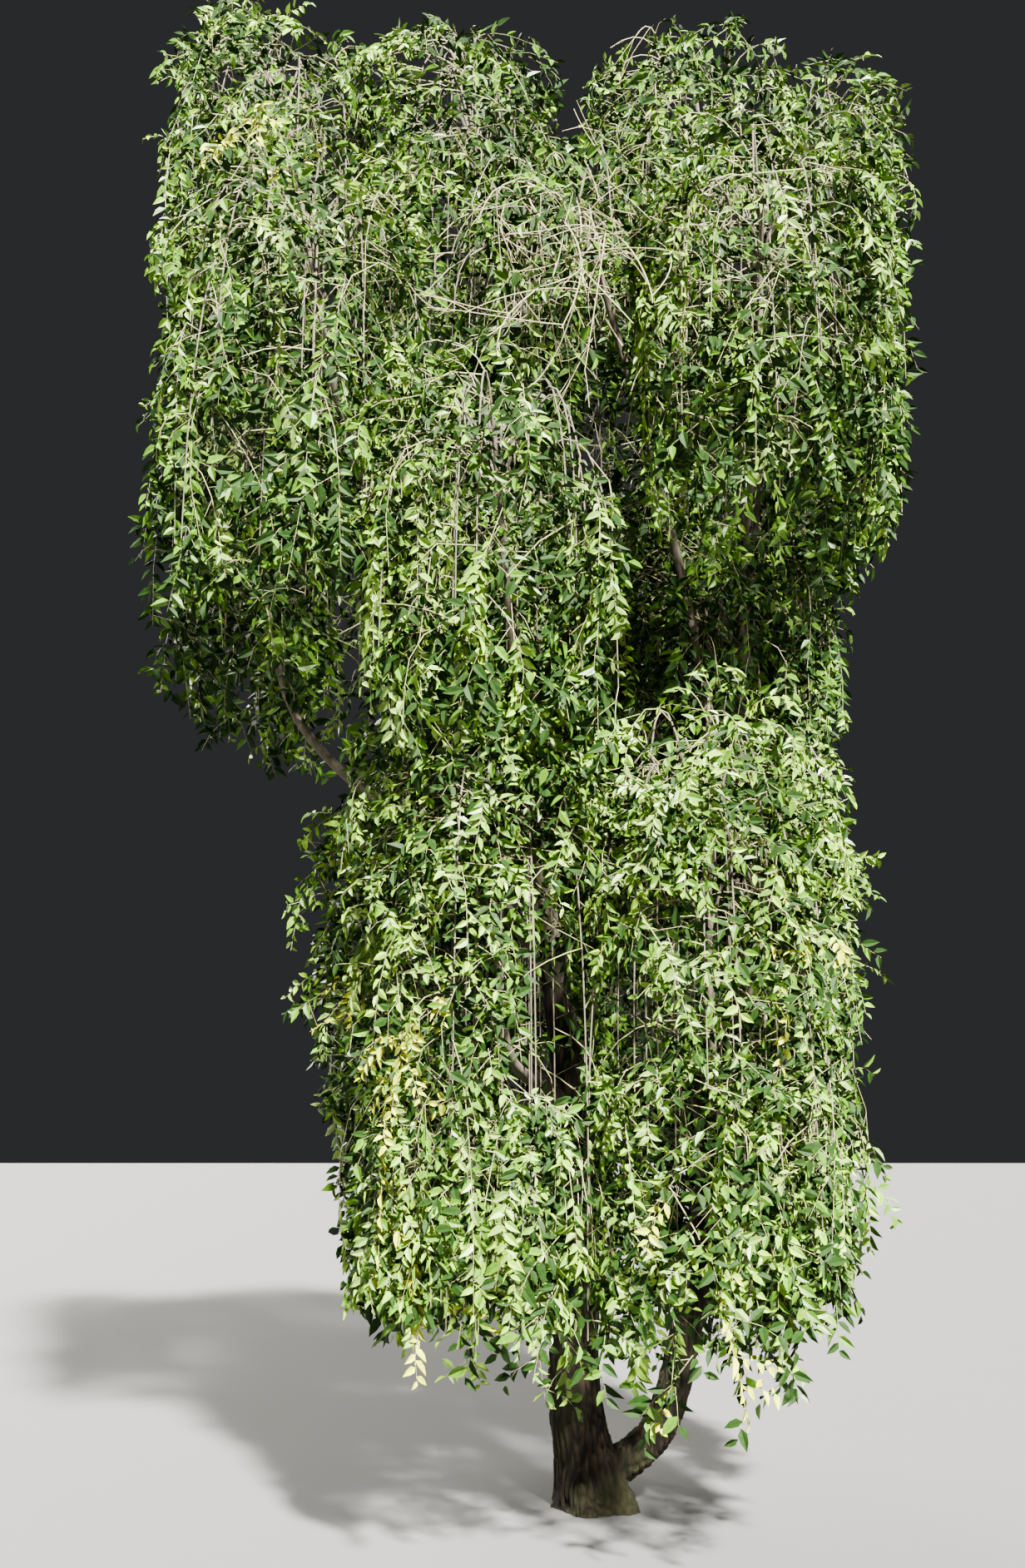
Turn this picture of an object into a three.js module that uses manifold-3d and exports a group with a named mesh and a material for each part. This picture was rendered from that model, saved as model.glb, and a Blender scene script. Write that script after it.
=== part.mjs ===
// A weeping Siberian elm that stands rooted in the ground. Millimetres, +Z up, front towards -Y.
// The origin is in the flat cut under the trunk. Two stems leave one flared foot, arching
// boughs leave the stems, and each bough ends in a mass of hanging twigs and leaf sprays.
import * as THREE from "three";
import { mergeVertices } from "three/addons/utils/BufferGeometryUtils.js";
import Module from "manifold-3d";

const wasm = await Module();
wasm.setup();

// Clearances between neighbouring solids
const SEAT_GAP = 0.3;
const LEAF_CLEARANCE = 3;
const MERGE_WITHIN = 0.25;

// Trunk: the left of the two stems, with the flared foot that both share
const TRUNK_TOP = 2500;
const TRUNK_FOOT_RADIUS = 128;
const TRUNK_TIP_RADIUS = 58;
const TRUNK_TAPER = 0.8;
const FLARE_RADIUS = 62;
const FLARE_HEIGHT = 130;
const FLARE_LOBES = 5;
const FLARE_LOBE_SHARE = 0.3;
const BELOW_CUT = 120;
const TRUNK_PATH = [
  [0, 0, -BELOW_CUT],
  [-30, 0, 60],
  [-100, 0, 420],
  [-80, 20, 1100],
  [-130, 40, 1850],
  [-230, 40, TRUNK_TOP],
];
const TRUNK_SIDES = 15;
const TRUNK_RINGS = 12;
const FOOT_CROWDING = 1.5;

// Second stem, which leans out to the right from the same foot
const STEM_TOP = 2350;
const STEM_LEAN = 640;
const STEM_PATH = [
  [10, 0, 110],
  [230, -10, 285],
  [320, -10, 500],
  [460, 0, 1150],
  [STEM_LEAN, 20, STEM_TOP],
];
const STEM_FOOT_RADIUS = 78;
const STEM_TIP_RADIUS = 42;
const STEM_SIDES = 10;
const STEM_RINGS = 10;

// Boughs: a bough leaves its limb between the limb's own heading and the way to its mass
const BOUGH_ROOT_SHARE = 0.62;
const BOUGH_ROOT_MOST = 46;
const BOUGH_TIP_RADIUS = 15;
const BOUGH_SIDES = 6;
const BOUGH_RINGS = 5;
const BOUGH_ENTRY = 0.5;
const FARTHEST_ROOT = 0.97;
const LEAVE_BLEND = 0.5;
const LEAVE_PULL = 0.38;
const ARRIVAL_PULL = 0.32;
const ENTRY_BACK = 0.45;
const HUB_DEPTH = 0.16;
const COLLAR_SHARE = 0.35;
const COLLAR_REACH = 0.05;

// Bells: the space that a mass keeps to
const DOME_SHARE = 0.85;
const HEM_TAPER = 0.12;

// Hanging twigs
const STEM_IN_MASS_SIDES = 5;
const STEM_IN_MASS_RINGS = 3;
const STEM_IN_MASS_BEND = 0.5;
const TWIGS = 6;
const TWIG_SIDES = 3;
const TWIG_RINGS = 4;
const TWIG_TRIES = 6;
const TWIG_ROOT_RADIUS = 14;
const TWIG_TIP_RADIUS = 10;
const TWIG_SPREAD = 0.9;
const INNERMOST_TWIG = 0.6;
const TWIG_SWAY = 0.9;
const FOOT_FROM = 0.35;
const FOOT_RANGE = 0.62;
const FOOT_LEAST_SHARE = 0.6;
const TIP_OVER_HEM = 340;
const TIP_LIFT = 0.09;
const CREST_AT = 0.6;
const CREST_UNDER_ROOF = 30;
const CREST_OVER_FOOT = 0.3;
const CREST_OVER_TIP = 0.09;

// Leaf sprays. One leaf of the model stands for a spray of real leaves.
const LEAVES_ON_TWIG = 4;
const LEAF_LENGTH = 560;
const LEAF_WIDTH = 240;
const LEAF_THICKNESS = 18;
const LEAF_WIDEST = 0.42;
const LEAF_SUNK = 9;
const LEAF_TRIES = 8;
const LEAF_SHRINK = 0.09;
const FIRST_LEAF = 0.3;
const LAST_LEAF = 0.97;
const LEAF_SHIFT = 0.3;
const LEAF_TURN = 0.2;
const LEAF_TURN_RANGE = 0.5;
const LEAF_SPLAY = 0.8;
const LEAF_ALONG_LEAST = 0.75;
const LEAF_ALONG_MOST = 1.05;
const LEAF_TILT = 0.35;

// Seeded numbers: each is the last one times a factor plus a step, within a range
const SEED_FACTOR = 1664525;
const SEED_STEP = 1013904223;
const SEED_RANGE = 2 ** 32;

const GOLDEN_ANGLE = Math.PI * (3 - Math.sqrt(5));
const SEAM_WIDTH = 1e-3;
const FRAME_STEPS = 60;
const UP = new THREE.Vector3(0, 0, 1);
const { clamp, lerp } = THREE.MathUtils;

const bark = new THREE.MeshStandardMaterial({ color: 0x5b4b3a, roughness: 0.92, metalness: 0 });
const youngBark = new THREE.MeshStandardMaterial({ color: 0x8f8b6c, roughness: 0.85, metalness: 0 });
const foliage = new THREE.MeshStandardMaterial({ color: 0x66803c, roughness: 0.6, metalness: 0 });
const bareTwigs = new THREE.MeshStandardMaterial({ color: 0x9c9480, roughness: 0.85, metalness: 0 });

// A mass of hanging foliage fills a bell: a domed roof over an upright skirt down to a hem.
// It grows from the tip of its own bough, which leaves the named limb at a share of its length.
function massRow(name, limb, share, x, y, halfWidth, halfDepth, roof, hem) {
  return { name, limb, share, x, y, halfWidth, halfDepth, roof, hem, entry: BOUGH_ENTRY, leafy: true };
}

const MASSES = [
  massRow("crown_left", "trunk", 1, -1580, -60, 600, 820, 6970, 4880),
  massRow("crown_middle", "trunk", 0.94, -640, 0, 560, 840, 6900, 4500),
  massRow("crown_right", "right_stem", 1, 560, 0, 580, 840, 6900, 4600),
  massRow("crown_back", "trunk", 0.88, -180, 1120, 700, 560, 6500, 3000),
  { ...massRow("side_left", "trunk", 0.86, -1680, 60, 520, 800, 5300, 3380), entry: 0.12 },
  massRow("front_left", "bough_crown_left", 0.4, -1240, -1060, 600, 560, 5650, 3500),
  massRow("back_left", "bough_crown_left", 0.34, -1240, 1060, 640, 600, 5750, 3400),
  massRow("front_middle", "trunk", 0.84, -440, -1210, 560, 500, 4580, 2850),
  massRow("front_right", "bough_crown_right", 0.42, 680, -1060, 580, 560, 5700, 3750),
  massRow("side_right", "bough_crown_right", 0.34, 1200, 0, 480, 800, 6640, 4050),
  massRow("back_right", "bough_crown_right", 0.36, 860, 1060, 620, 600, 5900, 3400),
  massRow("skirt_left", "trunk", 0.66, -870, -120, 500, 620, 3200, 780),
  massRow("skirt_front_left", "trunk", 0.62, -480, -860, 540, 520, 3290, 500),
  massRow("skirt_front_right", "right_stem", 0.62, 400, -860, 550, 520, 3290, 500),
  massRow("skirt_right", "right_stem", 0.6, 860, 0, 450, 680, 3300, 640),
  massRow("skirt_back_right", "right_stem", 0.54, 400, 830, 560, 540, 3500, 640),
  massRow("skirt_back_left", "trunk", 0.56, -500, 830, 560, 540, 3500, 660),
];

// Dead twigs without leaves show between the two halves of the crown.
const BARE = {
  ...massRow("bare_twigs", "right_stem", 0.95, -100, -660, 600, 420, 5860, 4600),
  leafy: false,
};

// Whole numbers in a fixed order, as shares of one, so that every run grows the same tree
function seededRandom(seed) {
  let state = seed;
  return () => {
    state = (state * SEED_FACTOR + SEED_STEP) % SEED_RANGE;
    return state / SEED_RANGE;
  };
}

// A closed solid from a geometry, with the vertices on its seams merged
function solidOf(geometry) {
  const bare = new THREE.BufferGeometry();
  bare.setAttribute("position", geometry.getAttribute("position"));
  bare.setIndex(geometry.getIndex());
  const merged = mergeVertices(bare, SEAM_WIDTH);
  return new wasm.Manifold(
    new wasm.Mesh({
      numProp: 3,
      vertProperties: new Float32Array(merged.getAttribute("position").array),
      triVerts: new Uint32Array(merged.getIndex().array),
    }),
  );
}

// The largest of the bodies that a cut leaves
function largestBody(solid) {
  const bodies = solid.decompose();
  return bodies.reduce((best, body) => (body.volume() > best.volume() ? body : best));
}

// A closed tube round a curve: a cylinder whose rings are moved onto the curve. A crowding
// over one sets the rings closer together towards the start.
function tubeAlong(curve, radiusAt, sides, rings, crowding = 1) {
  const geometry = new THREE.CylinderGeometry(1, 1, 1, sides, rings);
  const { normals, binormals } = curve.computeFrenetFrames(FRAME_STEPS, false);
  const position = geometry.getAttribute("position");
  for (let i = 0; i < position.count; i += 1) {
    const share = clamp(position.getY(i) + 0.5, 0, 1) ** crowding;
    const frame = Math.round(share * FRAME_STEPS);
    const across = position.getX(i);
    const aside = -position.getZ(i);
    const radius = radiusAt(share, Math.atan2(aside, across));
    const point = curve.getPointAt(share);
    point.addScaledVector(normals[frame], across * radius);
    point.addScaledVector(binormals[frame], aside * radius);
    position.setXYZ(i, point.x, point.y, point.z);
  }
  return solidOf(geometry);
}

function curveThrough(path) {
  return new THREE.CatmullRomCurve3(path.map((point) => new THREE.Vector3(...point)));
}

// Limbs, by name. Each is cut clear of the limbs made before it, so its root fits on them.
const limbs = new Map();

function addLimb(name, curve, radiusAt, tube, base) {
  const body = base ?? tube(curve, radiusAt);
  const cut = [...limbs.values()].reduce((solid, earlier) => solid.subtract(earlier.grown), body);
  const wider = tube(curve, (share, angle) => radiusAt(share, angle) + SEAT_GAP);
  const heading = curve.getTangentAt(1);
  const onward = heading.clone().multiplyScalar(SEAT_GAP);
  const grown = wider.add(wider.translate(onward.toArray()));
  limbs.set(name, { name, curve, radiusAt, heading, grown, solid: largestBody(cut) });
}

// Trunk

function trunkRadius(share, angle) {
  const height = share * (TRUNK_TOP + BELOW_CUT) - BELOW_CUT;
  const taper = lerp(TRUNK_FOOT_RADIUS, TRUNK_TIP_RADIUS, share ** TRUNK_TAPER);
  const lobes = 1 + FLARE_LOBE_SHARE * Math.cos(FLARE_LOBES * angle);
  return taper + FLARE_RADIUS * lobes * Math.exp(-Math.max(height, 0) / FLARE_HEIGHT);
}

// The tube starts below the ground and is cut flat at it.
function addTrunk() {
  const curve = curveThrough(TRUNK_PATH);
  const tube = (path, radiusAt) =>
    tubeAlong(path, radiusAt, TRUNK_SIDES, TRUNK_RINGS, FOOT_CROWDING);
  addLimb("trunk", curve, trunkRadius, tube, tube(curve, trunkRadius).trimByPlane([0, 0, 1], 0));
}

function addRightStem() {
  const curve = curveThrough(STEM_PATH);
  const radiusAt = (share) => lerp(STEM_FOOT_RADIUS, STEM_TIP_RADIUS, share);
  addLimb("right_stem", curve, radiusAt, (path, width) =>
    tubeAlong(path, width, STEM_SIDES, STEM_RINGS),
  );
}

// Boughs

// Where a bough enters its bell, on the side of the limb that it comes from, and where the
// stem inside the bell ends, under the middle of the roof
function entryAndHub(row, root) {
  const height = row.roof - row.hem;
  const hub = new THREE.Vector3(row.x, row.y, row.roof - HUB_DEPTH * height);
  const back = new THREE.Vector3(root.x - row.x, root.y - row.y, 0);
  back.clampLength(0, ENTRY_BACK * Math.min(row.halfWidth, row.halfDepth));
  const entry = hub.clone().add(back).setZ(row.hem + row.entry * height);
  return { entry, hub };
}

function addBough(row) {
  const parent = limbs.get(row.limb);
  const share = Math.min(row.share, FARTHEST_ROOT);
  const root = parent.curve.getPointAt(share);
  const { entry, hub } = entryAndHub(row, root);
  const reach = root.distanceTo(entry);
  const onward = entry.clone().sub(root).normalize();
  const leave = parent.curve.getTangentAt(share).lerp(onward, LEAVE_BLEND).normalize();
  const arrival = hub.clone().sub(entry).normalize();
  const curve = new THREE.CubicBezierCurve3(
    root,
    root.clone().addScaledVector(leave, LEAVE_PULL * reach),
    entry.clone().addScaledVector(arrival, -ARRIVAL_PULL * reach),
    entry,
  );
  const rootRadius = Math.min(BOUGH_ROOT_SHARE * parent.radiusAt(share, 0), BOUGH_ROOT_MOST);
  const radiusAt = (at) => {
    const collar = 1 + COLLAR_SHARE * Math.exp(-at / COLLAR_REACH);
    return lerp(rootRadius, BOUGH_TIP_RADIUS, at) * collar;
  };
  addLimb("bough_" + row.name, curve, radiusAt, (path, width) =>
    tubeAlong(path, width, BOUGH_SIDES, BOUGH_RINGS),
  );
}

// Foliage

// A leaf of unit length, width and thickness, with its foot at the origin and its tip on +X
function leafBlank() {
  const geometry = new THREE.OctahedronGeometry(1);
  const position = geometry.getAttribute("position");
  for (let i = 0; i < position.count; i += 1) {
    const end = Math.round(position.getX(i));
    const along = end === 0 ? LEAF_WIDEST : (end + 1) / 2;
    position.setXYZ(i, along, position.getY(i) / 2, position.getZ(i) / 2);
  }
  return solidOf(geometry);
}

const blank = leafBlank();

// A leaf whose foot is sunk a little past the middle of its twig
function leafSolid(foot, heading, across, size) {
  const face = heading.clone().cross(across).normalize();
  const matrix = new THREE.Matrix4().makeBasis(heading, across, face);
  matrix.scale(new THREE.Vector3(LEAF_LENGTH * size, LEAF_WIDTH * size, LEAF_THICKNESS));
  matrix.setPosition(foot.clone().addScaledVector(heading, -LEAF_SUNK));
  return blank.transform(matrix.elements);
}

// How far out a place is in a bell: nothing at its middle, one at its wall
function outwardness(row, x, y) {
  return Math.hypot((x - row.x) / row.halfWidth, (y - row.y) / row.halfDepth);
}

function roofAt(row, outward) {
  const dome = DOME_SHARE * Math.min(row.halfWidth, row.halfDepth);
  return row.roof - dome + dome * Math.sqrt(Math.max(1 - outward ** 2, 0));
}

function insideBell(row, point) {
  const low = clamp((row.roof - point.z) / (row.roof - row.hem), 0, 1);
  const outward = outwardness(row, point.x, point.y) / (1 - HEM_TAPER * low);
  return outward <= 1 && point.z <= roofAt(row, outward) && point.z >= row.hem;
}

function vertices(solid) {
  const { numProp, numVert, vertProperties } = solid.getMesh();
  return Array.from({ length: numVert }, (_, i) =>
    new THREE.Vector3().fromArray(vertProperties, i * numProp),
  );
}

function solidInBox(solid) {
  const { min, max } = solid.boundingBox();
  return { solid, box: new THREE.Box3(new THREE.Vector3(...min), new THREE.Vector3(...max)) };
}

function isClear(solid, obstacles) {
  const box = solidInBox(solid).box.expandByScalar(LEAF_CLEARANCE);
  const near = obstacles.filter((other) => box.intersectsBox(other.box));
  return near.every((other) => solid.minGap(other.solid, LEAF_CLEARANCE) >= LEAF_CLEARANCE);
}

// The upright stem of a mass, which grows on from the tip of its bough
function massStem(row) {
  const bough = limbs.get("bough_" + row.name);
  const { hub } = entryAndHub(row, bough.curve.getPointAt(0));
  const start = bough.curve.getPointAt(1).addScaledVector(bough.heading, SEAT_GAP);
  const bend = start.clone().addScaledVector(bough.heading, STEM_IN_MASS_BEND * start.distanceTo(hub));
  const curve = new THREE.QuadraticBezierCurve3(start, bend, hub);
  const radiusAt = (share) => lerp(BOUGH_TIP_RADIUS, TWIG_ROOT_RADIUS, share);
  const solid = tubeAlong(curve, radiusAt, STEM_IN_MASS_SIDES, STEM_IN_MASS_RINGS);
  return { row, start, curve, solid };
}

// One hanging twig: it rises from the stem to the roof of the bell and falls towards the hem.
// The middle points of its cubic stand over the roof so that the curve itself just reaches it.
function twigCurve(stem, index, random) {
  const { row } = stem;
  const outward = Math.sqrt((index + INNERMOST_TWIG) / TWIGS) * TWIG_SPREAD;
  const angle = index * GOLDEN_ANGLE + TWIG_SWAY * (random() - 0.5);
  const inward = (1 - outward) * lerp(FOOT_LEAST_SHARE, 1, random());
  const foot = stem.curve.getPointAt(FOOT_FROM + FOOT_RANGE * inward);
  const tip = new THREE.Vector3(
    row.x + row.halfWidth * outward * Math.cos(angle),
    row.y + row.halfDepth * outward * Math.sin(angle),
    row.hem + TIP_OVER_HEM + TIP_LIFT * (row.roof - row.hem) * random(),
  );
  const roof = roofAt(row, outward) - CREST_UNDER_ROOF;
  const pull = roof + CREST_OVER_FOOT * (roof - foot.z) + CREST_OVER_TIP * (roof - tip.z);
  const crest = foot.clone().lerp(tip, CREST_AT).setZ(pull);
  return new THREE.CubicBezierCurve3(foot, crest, tip.clone().setZ(pull), tip);
}

function clearTwig(stem, index, random, obstacles) {
  const radiusAt = (share) => lerp(TWIG_ROOT_RADIUS, TWIG_TIP_RADIUS, share);
  for (let attempt = 0; attempt < TWIG_TRIES; attempt += 1) {
    const curve = twigCurve(stem, index, random);
    const solid = tubeAlong(curve, radiusAt, TWIG_SIDES, TWIG_RINGS);
    if (isClear(solid, obstacles)) {
      return { curve, solid };
    }
  }
  return null;
}

// A leaf on a twig hangs out to its side, and is turned and made smaller until it fits
function clearLeaf(row, curve, share, side, random, obstacles) {
  const foot = curve.getPointAt(share);
  const outward = new THREE.Vector3(foot.x - row.x, foot.y - row.y, 0).normalize();
  for (let attempt = 0; attempt < LEAF_TRIES; attempt += 1) {
    const turn = side * Math.PI * (LEAF_TURN + LEAF_TURN_RANGE * random() + LEAF_SHRINK * attempt);
    const sideways = outward.clone().applyAxisAngle(UP, turn);
    const along = lerp(LEAF_ALONG_LEAST, LEAF_ALONG_MOST, random());
    const heading = curve.getTangentAt(share).multiplyScalar(along);
    heading.addScaledVector(sideways, LEAF_SPLAY * (1 - LEAF_SHRINK * attempt)).normalize();
    const tilt = sideways.clone().lerp(UP, LEAF_TILT * random());
    const across = heading.clone().cross(tilt).normalize();
    const solid = leafSolid(foot, heading, across, 1 - LEAF_SHRINK * attempt);
    if (vertices(solid).every((point) => insideBell(row, point)) && isClear(solid, obstacles)) {
      return solidInBox(solid);
    }
  }
  return null;
}

// The leaves of one twig stand on alternate sides of it
function leavesOnTwig(row, curve, obstacles, random) {
  const leaves = [];
  for (let index = 0; index < LEAVES_ON_TWIG; index += 1) {
    const place = (index + LEAF_SHIFT * random()) / (LEAVES_ON_TWIG - 1 + LEAF_SHIFT);
    const share = lerp(FIRST_LEAF, LAST_LEAF, place);
    const side = index % 2 === 0 ? 1 : -1;
    const leaf = clearLeaf(row, curve, share, side, random, [...obstacles, ...leaves]);
    if (leaf) {
      leaves.push(leaf);
    }
  }
  return leaves;
}

function growMass(stem, obstacles, random) {
  const twigs = [];
  const leaves = [];
  for (let index = 0; index < TWIGS; index += 1) {
    const twig = clearTwig(stem, index, random, obstacles);
    if (twig) {
      twigs.push(twig);
    }
    if (twig && stem.row.leafy) {
      leaves.push(...leavesOnTwig(stem.row, twig.curve, [...obstacles, ...leaves], random));
    }
  }
  const joined = wasm.Manifold.union([stem, ...twigs, ...leaves].map(({ solid }) => solid));
  return largestBody(joined.asOriginal().simplify(MERGE_WITHIN));
}

// Scene

function meshOf(name, solid, origin, material) {
  const { numProp, numVert, vertProperties, triVerts } = solid.getMesh();
  const position = new Float32Array(numVert * 3);
  for (let i = 0; i < numVert; i += 1) {
    position.set(vertProperties.subarray(i * numProp, i * numProp + 3), i * 3);
  }
  const geometry = new THREE.BufferGeometry();
  geometry.setAttribute("position", new THREE.BufferAttribute(position, 3));
  geometry.setIndex(new THREE.BufferAttribute(new Uint32Array(triVerts), 1));
  geometry.translate(-origin.x, -origin.y, -origin.z);
  geometry.computeVertexNormals();
  const mesh = new THREE.Mesh(geometry, material);
  mesh.name = name;
  mesh.position.copy(origin);
  return mesh;
}

function buildTree() {
  const tree = new THREE.Group();
  const wood = new THREE.Group();
  const leafage = new THREE.Group();
  tree.add(wood, leafage);
  addTrunk();
  addRightStem();
  const rows = [...MASSES, BARE];
  rows.forEach(addBough);
  for (const limb of limbs.values()) {
    const material = limb.name.startsWith("bough_") ? youngBark : bark;
    const origin = limb.name === "trunk" ? new THREE.Vector3() : limb.curve.getPointAt(0);
    wood.add(meshOf(limb.name, limb.solid, origin, material));
  }
  const limbSolids = [...limbs.values()].map(({ solid }) => solidInBox(solid));
  const stems = rows.map(massStem);
  const grown = [];
  stems.forEach((stem, index) => {
    const others = stems.slice(index + 1).map(({ solid }) => solidInBox(solid));
    const solid = growMass(stem, [...limbSolids, ...others, ...grown], seededRandom(index + 1));
    grown.push(solidInBox(solid));
    const material = stem.row.leafy ? foliage : bareTwigs;
    leafage.add(meshOf(stem.row.name, solid, stem.start, material));
  });
  return tree;
}

export default buildTree();
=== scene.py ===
"""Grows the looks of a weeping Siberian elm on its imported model. Metres, +Z up, front at -Y.

The limbs and the bells that the foliage keeps to are worked out as the part's source works
them out. A bell is the space of one mass: a wall under a domed roof, down to a hem. Branches
arch in it, twigs hang from them, and two-ranked leaves grow on the twigs' short shoots.
"""
import math
from collections import namedtuple

import bmesh
import bpy
import numpy as np
from bpy.props import FloatProperty, FloatVectorProperty, IntProperty, PointerProperty
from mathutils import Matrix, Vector, noise


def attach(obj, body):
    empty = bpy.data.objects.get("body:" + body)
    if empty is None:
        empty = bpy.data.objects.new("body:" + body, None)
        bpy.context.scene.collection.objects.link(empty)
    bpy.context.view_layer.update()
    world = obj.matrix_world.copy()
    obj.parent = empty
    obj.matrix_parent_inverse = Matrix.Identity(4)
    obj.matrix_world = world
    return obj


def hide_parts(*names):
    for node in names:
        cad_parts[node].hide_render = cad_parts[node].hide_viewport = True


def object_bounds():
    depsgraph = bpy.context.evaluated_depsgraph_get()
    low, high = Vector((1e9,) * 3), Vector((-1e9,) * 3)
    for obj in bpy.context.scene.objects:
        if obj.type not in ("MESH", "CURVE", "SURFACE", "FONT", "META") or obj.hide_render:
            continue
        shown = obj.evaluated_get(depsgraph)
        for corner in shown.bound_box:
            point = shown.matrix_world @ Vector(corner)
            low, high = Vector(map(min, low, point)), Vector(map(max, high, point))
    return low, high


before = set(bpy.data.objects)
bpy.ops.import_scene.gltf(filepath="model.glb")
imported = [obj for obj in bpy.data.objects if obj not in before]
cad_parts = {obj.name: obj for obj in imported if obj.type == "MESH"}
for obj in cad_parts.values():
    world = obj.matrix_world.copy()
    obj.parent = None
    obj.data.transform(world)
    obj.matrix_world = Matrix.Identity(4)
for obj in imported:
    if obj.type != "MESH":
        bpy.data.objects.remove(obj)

bl_info = {
    "name": "Weeping Siberian Elm",
    "version": (1, 0, 0),
    "blender": (4, 5, 0),
    "location": "3D Viewport > Sidebar > Elm",
    "description": "Grows a weeping elm with furrowed bark, hanging shoots and two-ranked leaves",
    "category": "Object",
}

CAD_BOX = [list(corner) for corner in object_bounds()]
UP = np.array([0.0, 0.0, 1.0])
LEVEL = (1, 1, 0)
NEARLY_LEVEL = (1, 1, 0.001)
SMALLEST = 1e-9
GOLDEN_ANGLE = math.pi * (3 - math.sqrt(5))
# Directions across limbs and twigs that their rings are turned by, and from when a twig is upright
BESIDE_LIMBS = np.array([0.0, 1.0, 0.02])
BESIDE_UPRIGHT = (1.0, 0.3, 0)
UPRIGHT = 0.9

# Limbs, as in the part's source
TRUNK_TOP = 2.5
BELOW_CUT = 0.12
TRUNK_PATH = (
    (0, 0, -BELOW_CUT),
    (-0.03, 0, 0.06),
    (-0.1, 0, 0.42),
    (-0.08, 0.02, 1.1),
    (-0.13, 0.04, 1.85),
    (-0.23, 0.04, TRUNK_TOP),
)
STEM_PATH = ((0.01, 0, 0.11), (0.23, -0.01, 0.285), (0.32, -0.01, 0.5), (0.46, 0, 1.15), (0.64, 0.02, 2.35))
FARTHEST_ROOT = 0.97
LEAVE_BLEND = 0.5
LEAVE_PULL = 0.38
ARRIVAL_PULL = 0.32
COLLAR_SWELL = 0.35
COLLAR_FADE = 0.05
ENTRY_BACK = 0.45
HUB_DEPTH = 0.16
BOUGH_ENTRY = 0.5
LOW_ENTRY = 0.12
BEND_IN_BELL = 0.5
INNER_TIP_RADIUS = 0.008

# Swellings of the boughs
BUMP_SEED = 1
BUMP_RATE = 16
BUMP_HEIGHT = 0.0022

# Furrowed bark: sway and stretch of its plates, how steep their edges and the cracks in them are
PLATE_SWAY = 0.7
PLATE_SWAY_RATE = (9, 9, 7)
PLATE_STRETCH = 0.1
PLATE_EDGE = 2.6
CRACK_RATE = 2.6
CRACK_SHIFT = Vector((7.1, 3.3, 1.7))
CRACK_EDGE = 4
CRACK_DEPTH = 0.3
UNMOVED_RELIEF = 0.75
RELIEF_PUSH = (1, 1, 0.3)
LEAST_RELIEF = 0.25
CUT_HEIGHT = 0.001

# Bells: dome and hem, and how far twigs reach towards the wall and may stand over the roof
DOME_SHARE = 0.85
ROOF_RIM = 0.96
HEM_TAPER = 0.2
FRONT_FALL = 0.45
WALL_LEAST = 0.84
WALL_MOST = 1.1
ROOF_SLACK = 0.05
SPRIG_SLACK = 0.24
# The solids' box: how far they may stand over its top, and how they keep within its sides
TOP_SLACK = 0.04
BOX_MARGIN = 0.8
HEM_DRAW = 0.2

# Cover: how deep a place lies in the foliage, where twigs get fewer, and where their leaves get the dark
# green of painted shade
COVER_STEP = 0.2
COVER_STEPS = 12
COVER_RISES = (0, 0.7, -0.6)
COVER_SIDES = 8
THIN_COVER = 0.3
THICK_COVER = 0.75
THICK_COVER_SHARE = 0.2
SHADED_COVER = 0.35

# Shell: how deep the leaves in the light reach in under the roof, and what share of the shoots inside get
# the dark green of painted shade
SHELL_DEPTH = 0.8
SHADED_SHELL = (0.72, 0.96)
SHADED_SHARE = (0.9, 0.12)

# Clumps of shoots: how large they are, and the least of the noise that makes one
CLUMP_SIZE = 0.2
CROWN_CLUMP_LEAST = -0.1
LOW_CLUMP_LEAST = -0.2

# Arching branches in a bell
INNERMOST = 0.6
SPREAD = 0.9
SWAY = 0.9
INWARD_SHARE = (0.6, 1)
FOOT_FROM = 0.3
FOOT_RANGE = 0.67
TIP_OVER_HEM = (0.08, 0.42)
CREST_AT = 0.6
CREST_UNDER_ROOF = 0.03
CREST_SLACK = (-0.05, 0.28)
CREST_OVER_FOOT = 0.3
CREST_OVER_TIP = 0.09
BRANCH_REACH = 0.85
BRANCH_MARGIN = 0.24
BRANCH_TIP_RADIUS = 0.0024

# Hanging twigs: where they leave a branch, and which way
TWIGGED_SHARE = 0.9
LEAST_TWIGS = 2
FIRST_TWIG_AT = 0.12
TWIG_JITTER = 0.03
TWIG_TURN = (0.3, 1.9)
TWIG_LIFT = (-0.1, 0.8)
TWIG_ONWARD = 0.4
TWIG_ASIDE = 0.8
TWIG_TIP_RADIUS = 0.0011
# How long they get, how far they fall for their length, and how freely
SHORT_TWIG_BIAS = 1.4
HIGH_HEM_BIAS = 2
LEAST_ROOM = 0.08
HEM_FALL_SHARE = 0.6
FALL_SHARE = 0.5
LEAST_FALL = 0.3
HEM_FALL = 0.75
MOST_FALL = 1.1
# Their first step and drift, then two steps: how far outwards, less how much if slack, and how far down
TWIG_FIRST_STEP = 0.36
TWIG_DRIFT = 0.32
DRIFT_BACK = 0.5
TWIG_MIDDLE = (0.5, 0.22, 0.26)
TWIG_END = (0.4, 0.34, 0.38)
# Where along a twig it is tested against the hollows
GAP_CHECKS = (0.35, 0.6, 0.8, 1.0)
# Which may be bare: those that end this far over the hem and reach no farther out in the bell
BARE_OVER_HEM = 0.5
BARE_WITHIN = 0.8

# Sprigs over the roof: how near to it they leave, their lengths, and steps outwards and up
SPRIG_UNDER_ROOF = 0.25
SPRIG_LENGTH = (0.25, 0.5)
SPRIG_STEPS = ((0.2, 0.45), (0.35, 0.12), (0.3, -0.2))

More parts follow.
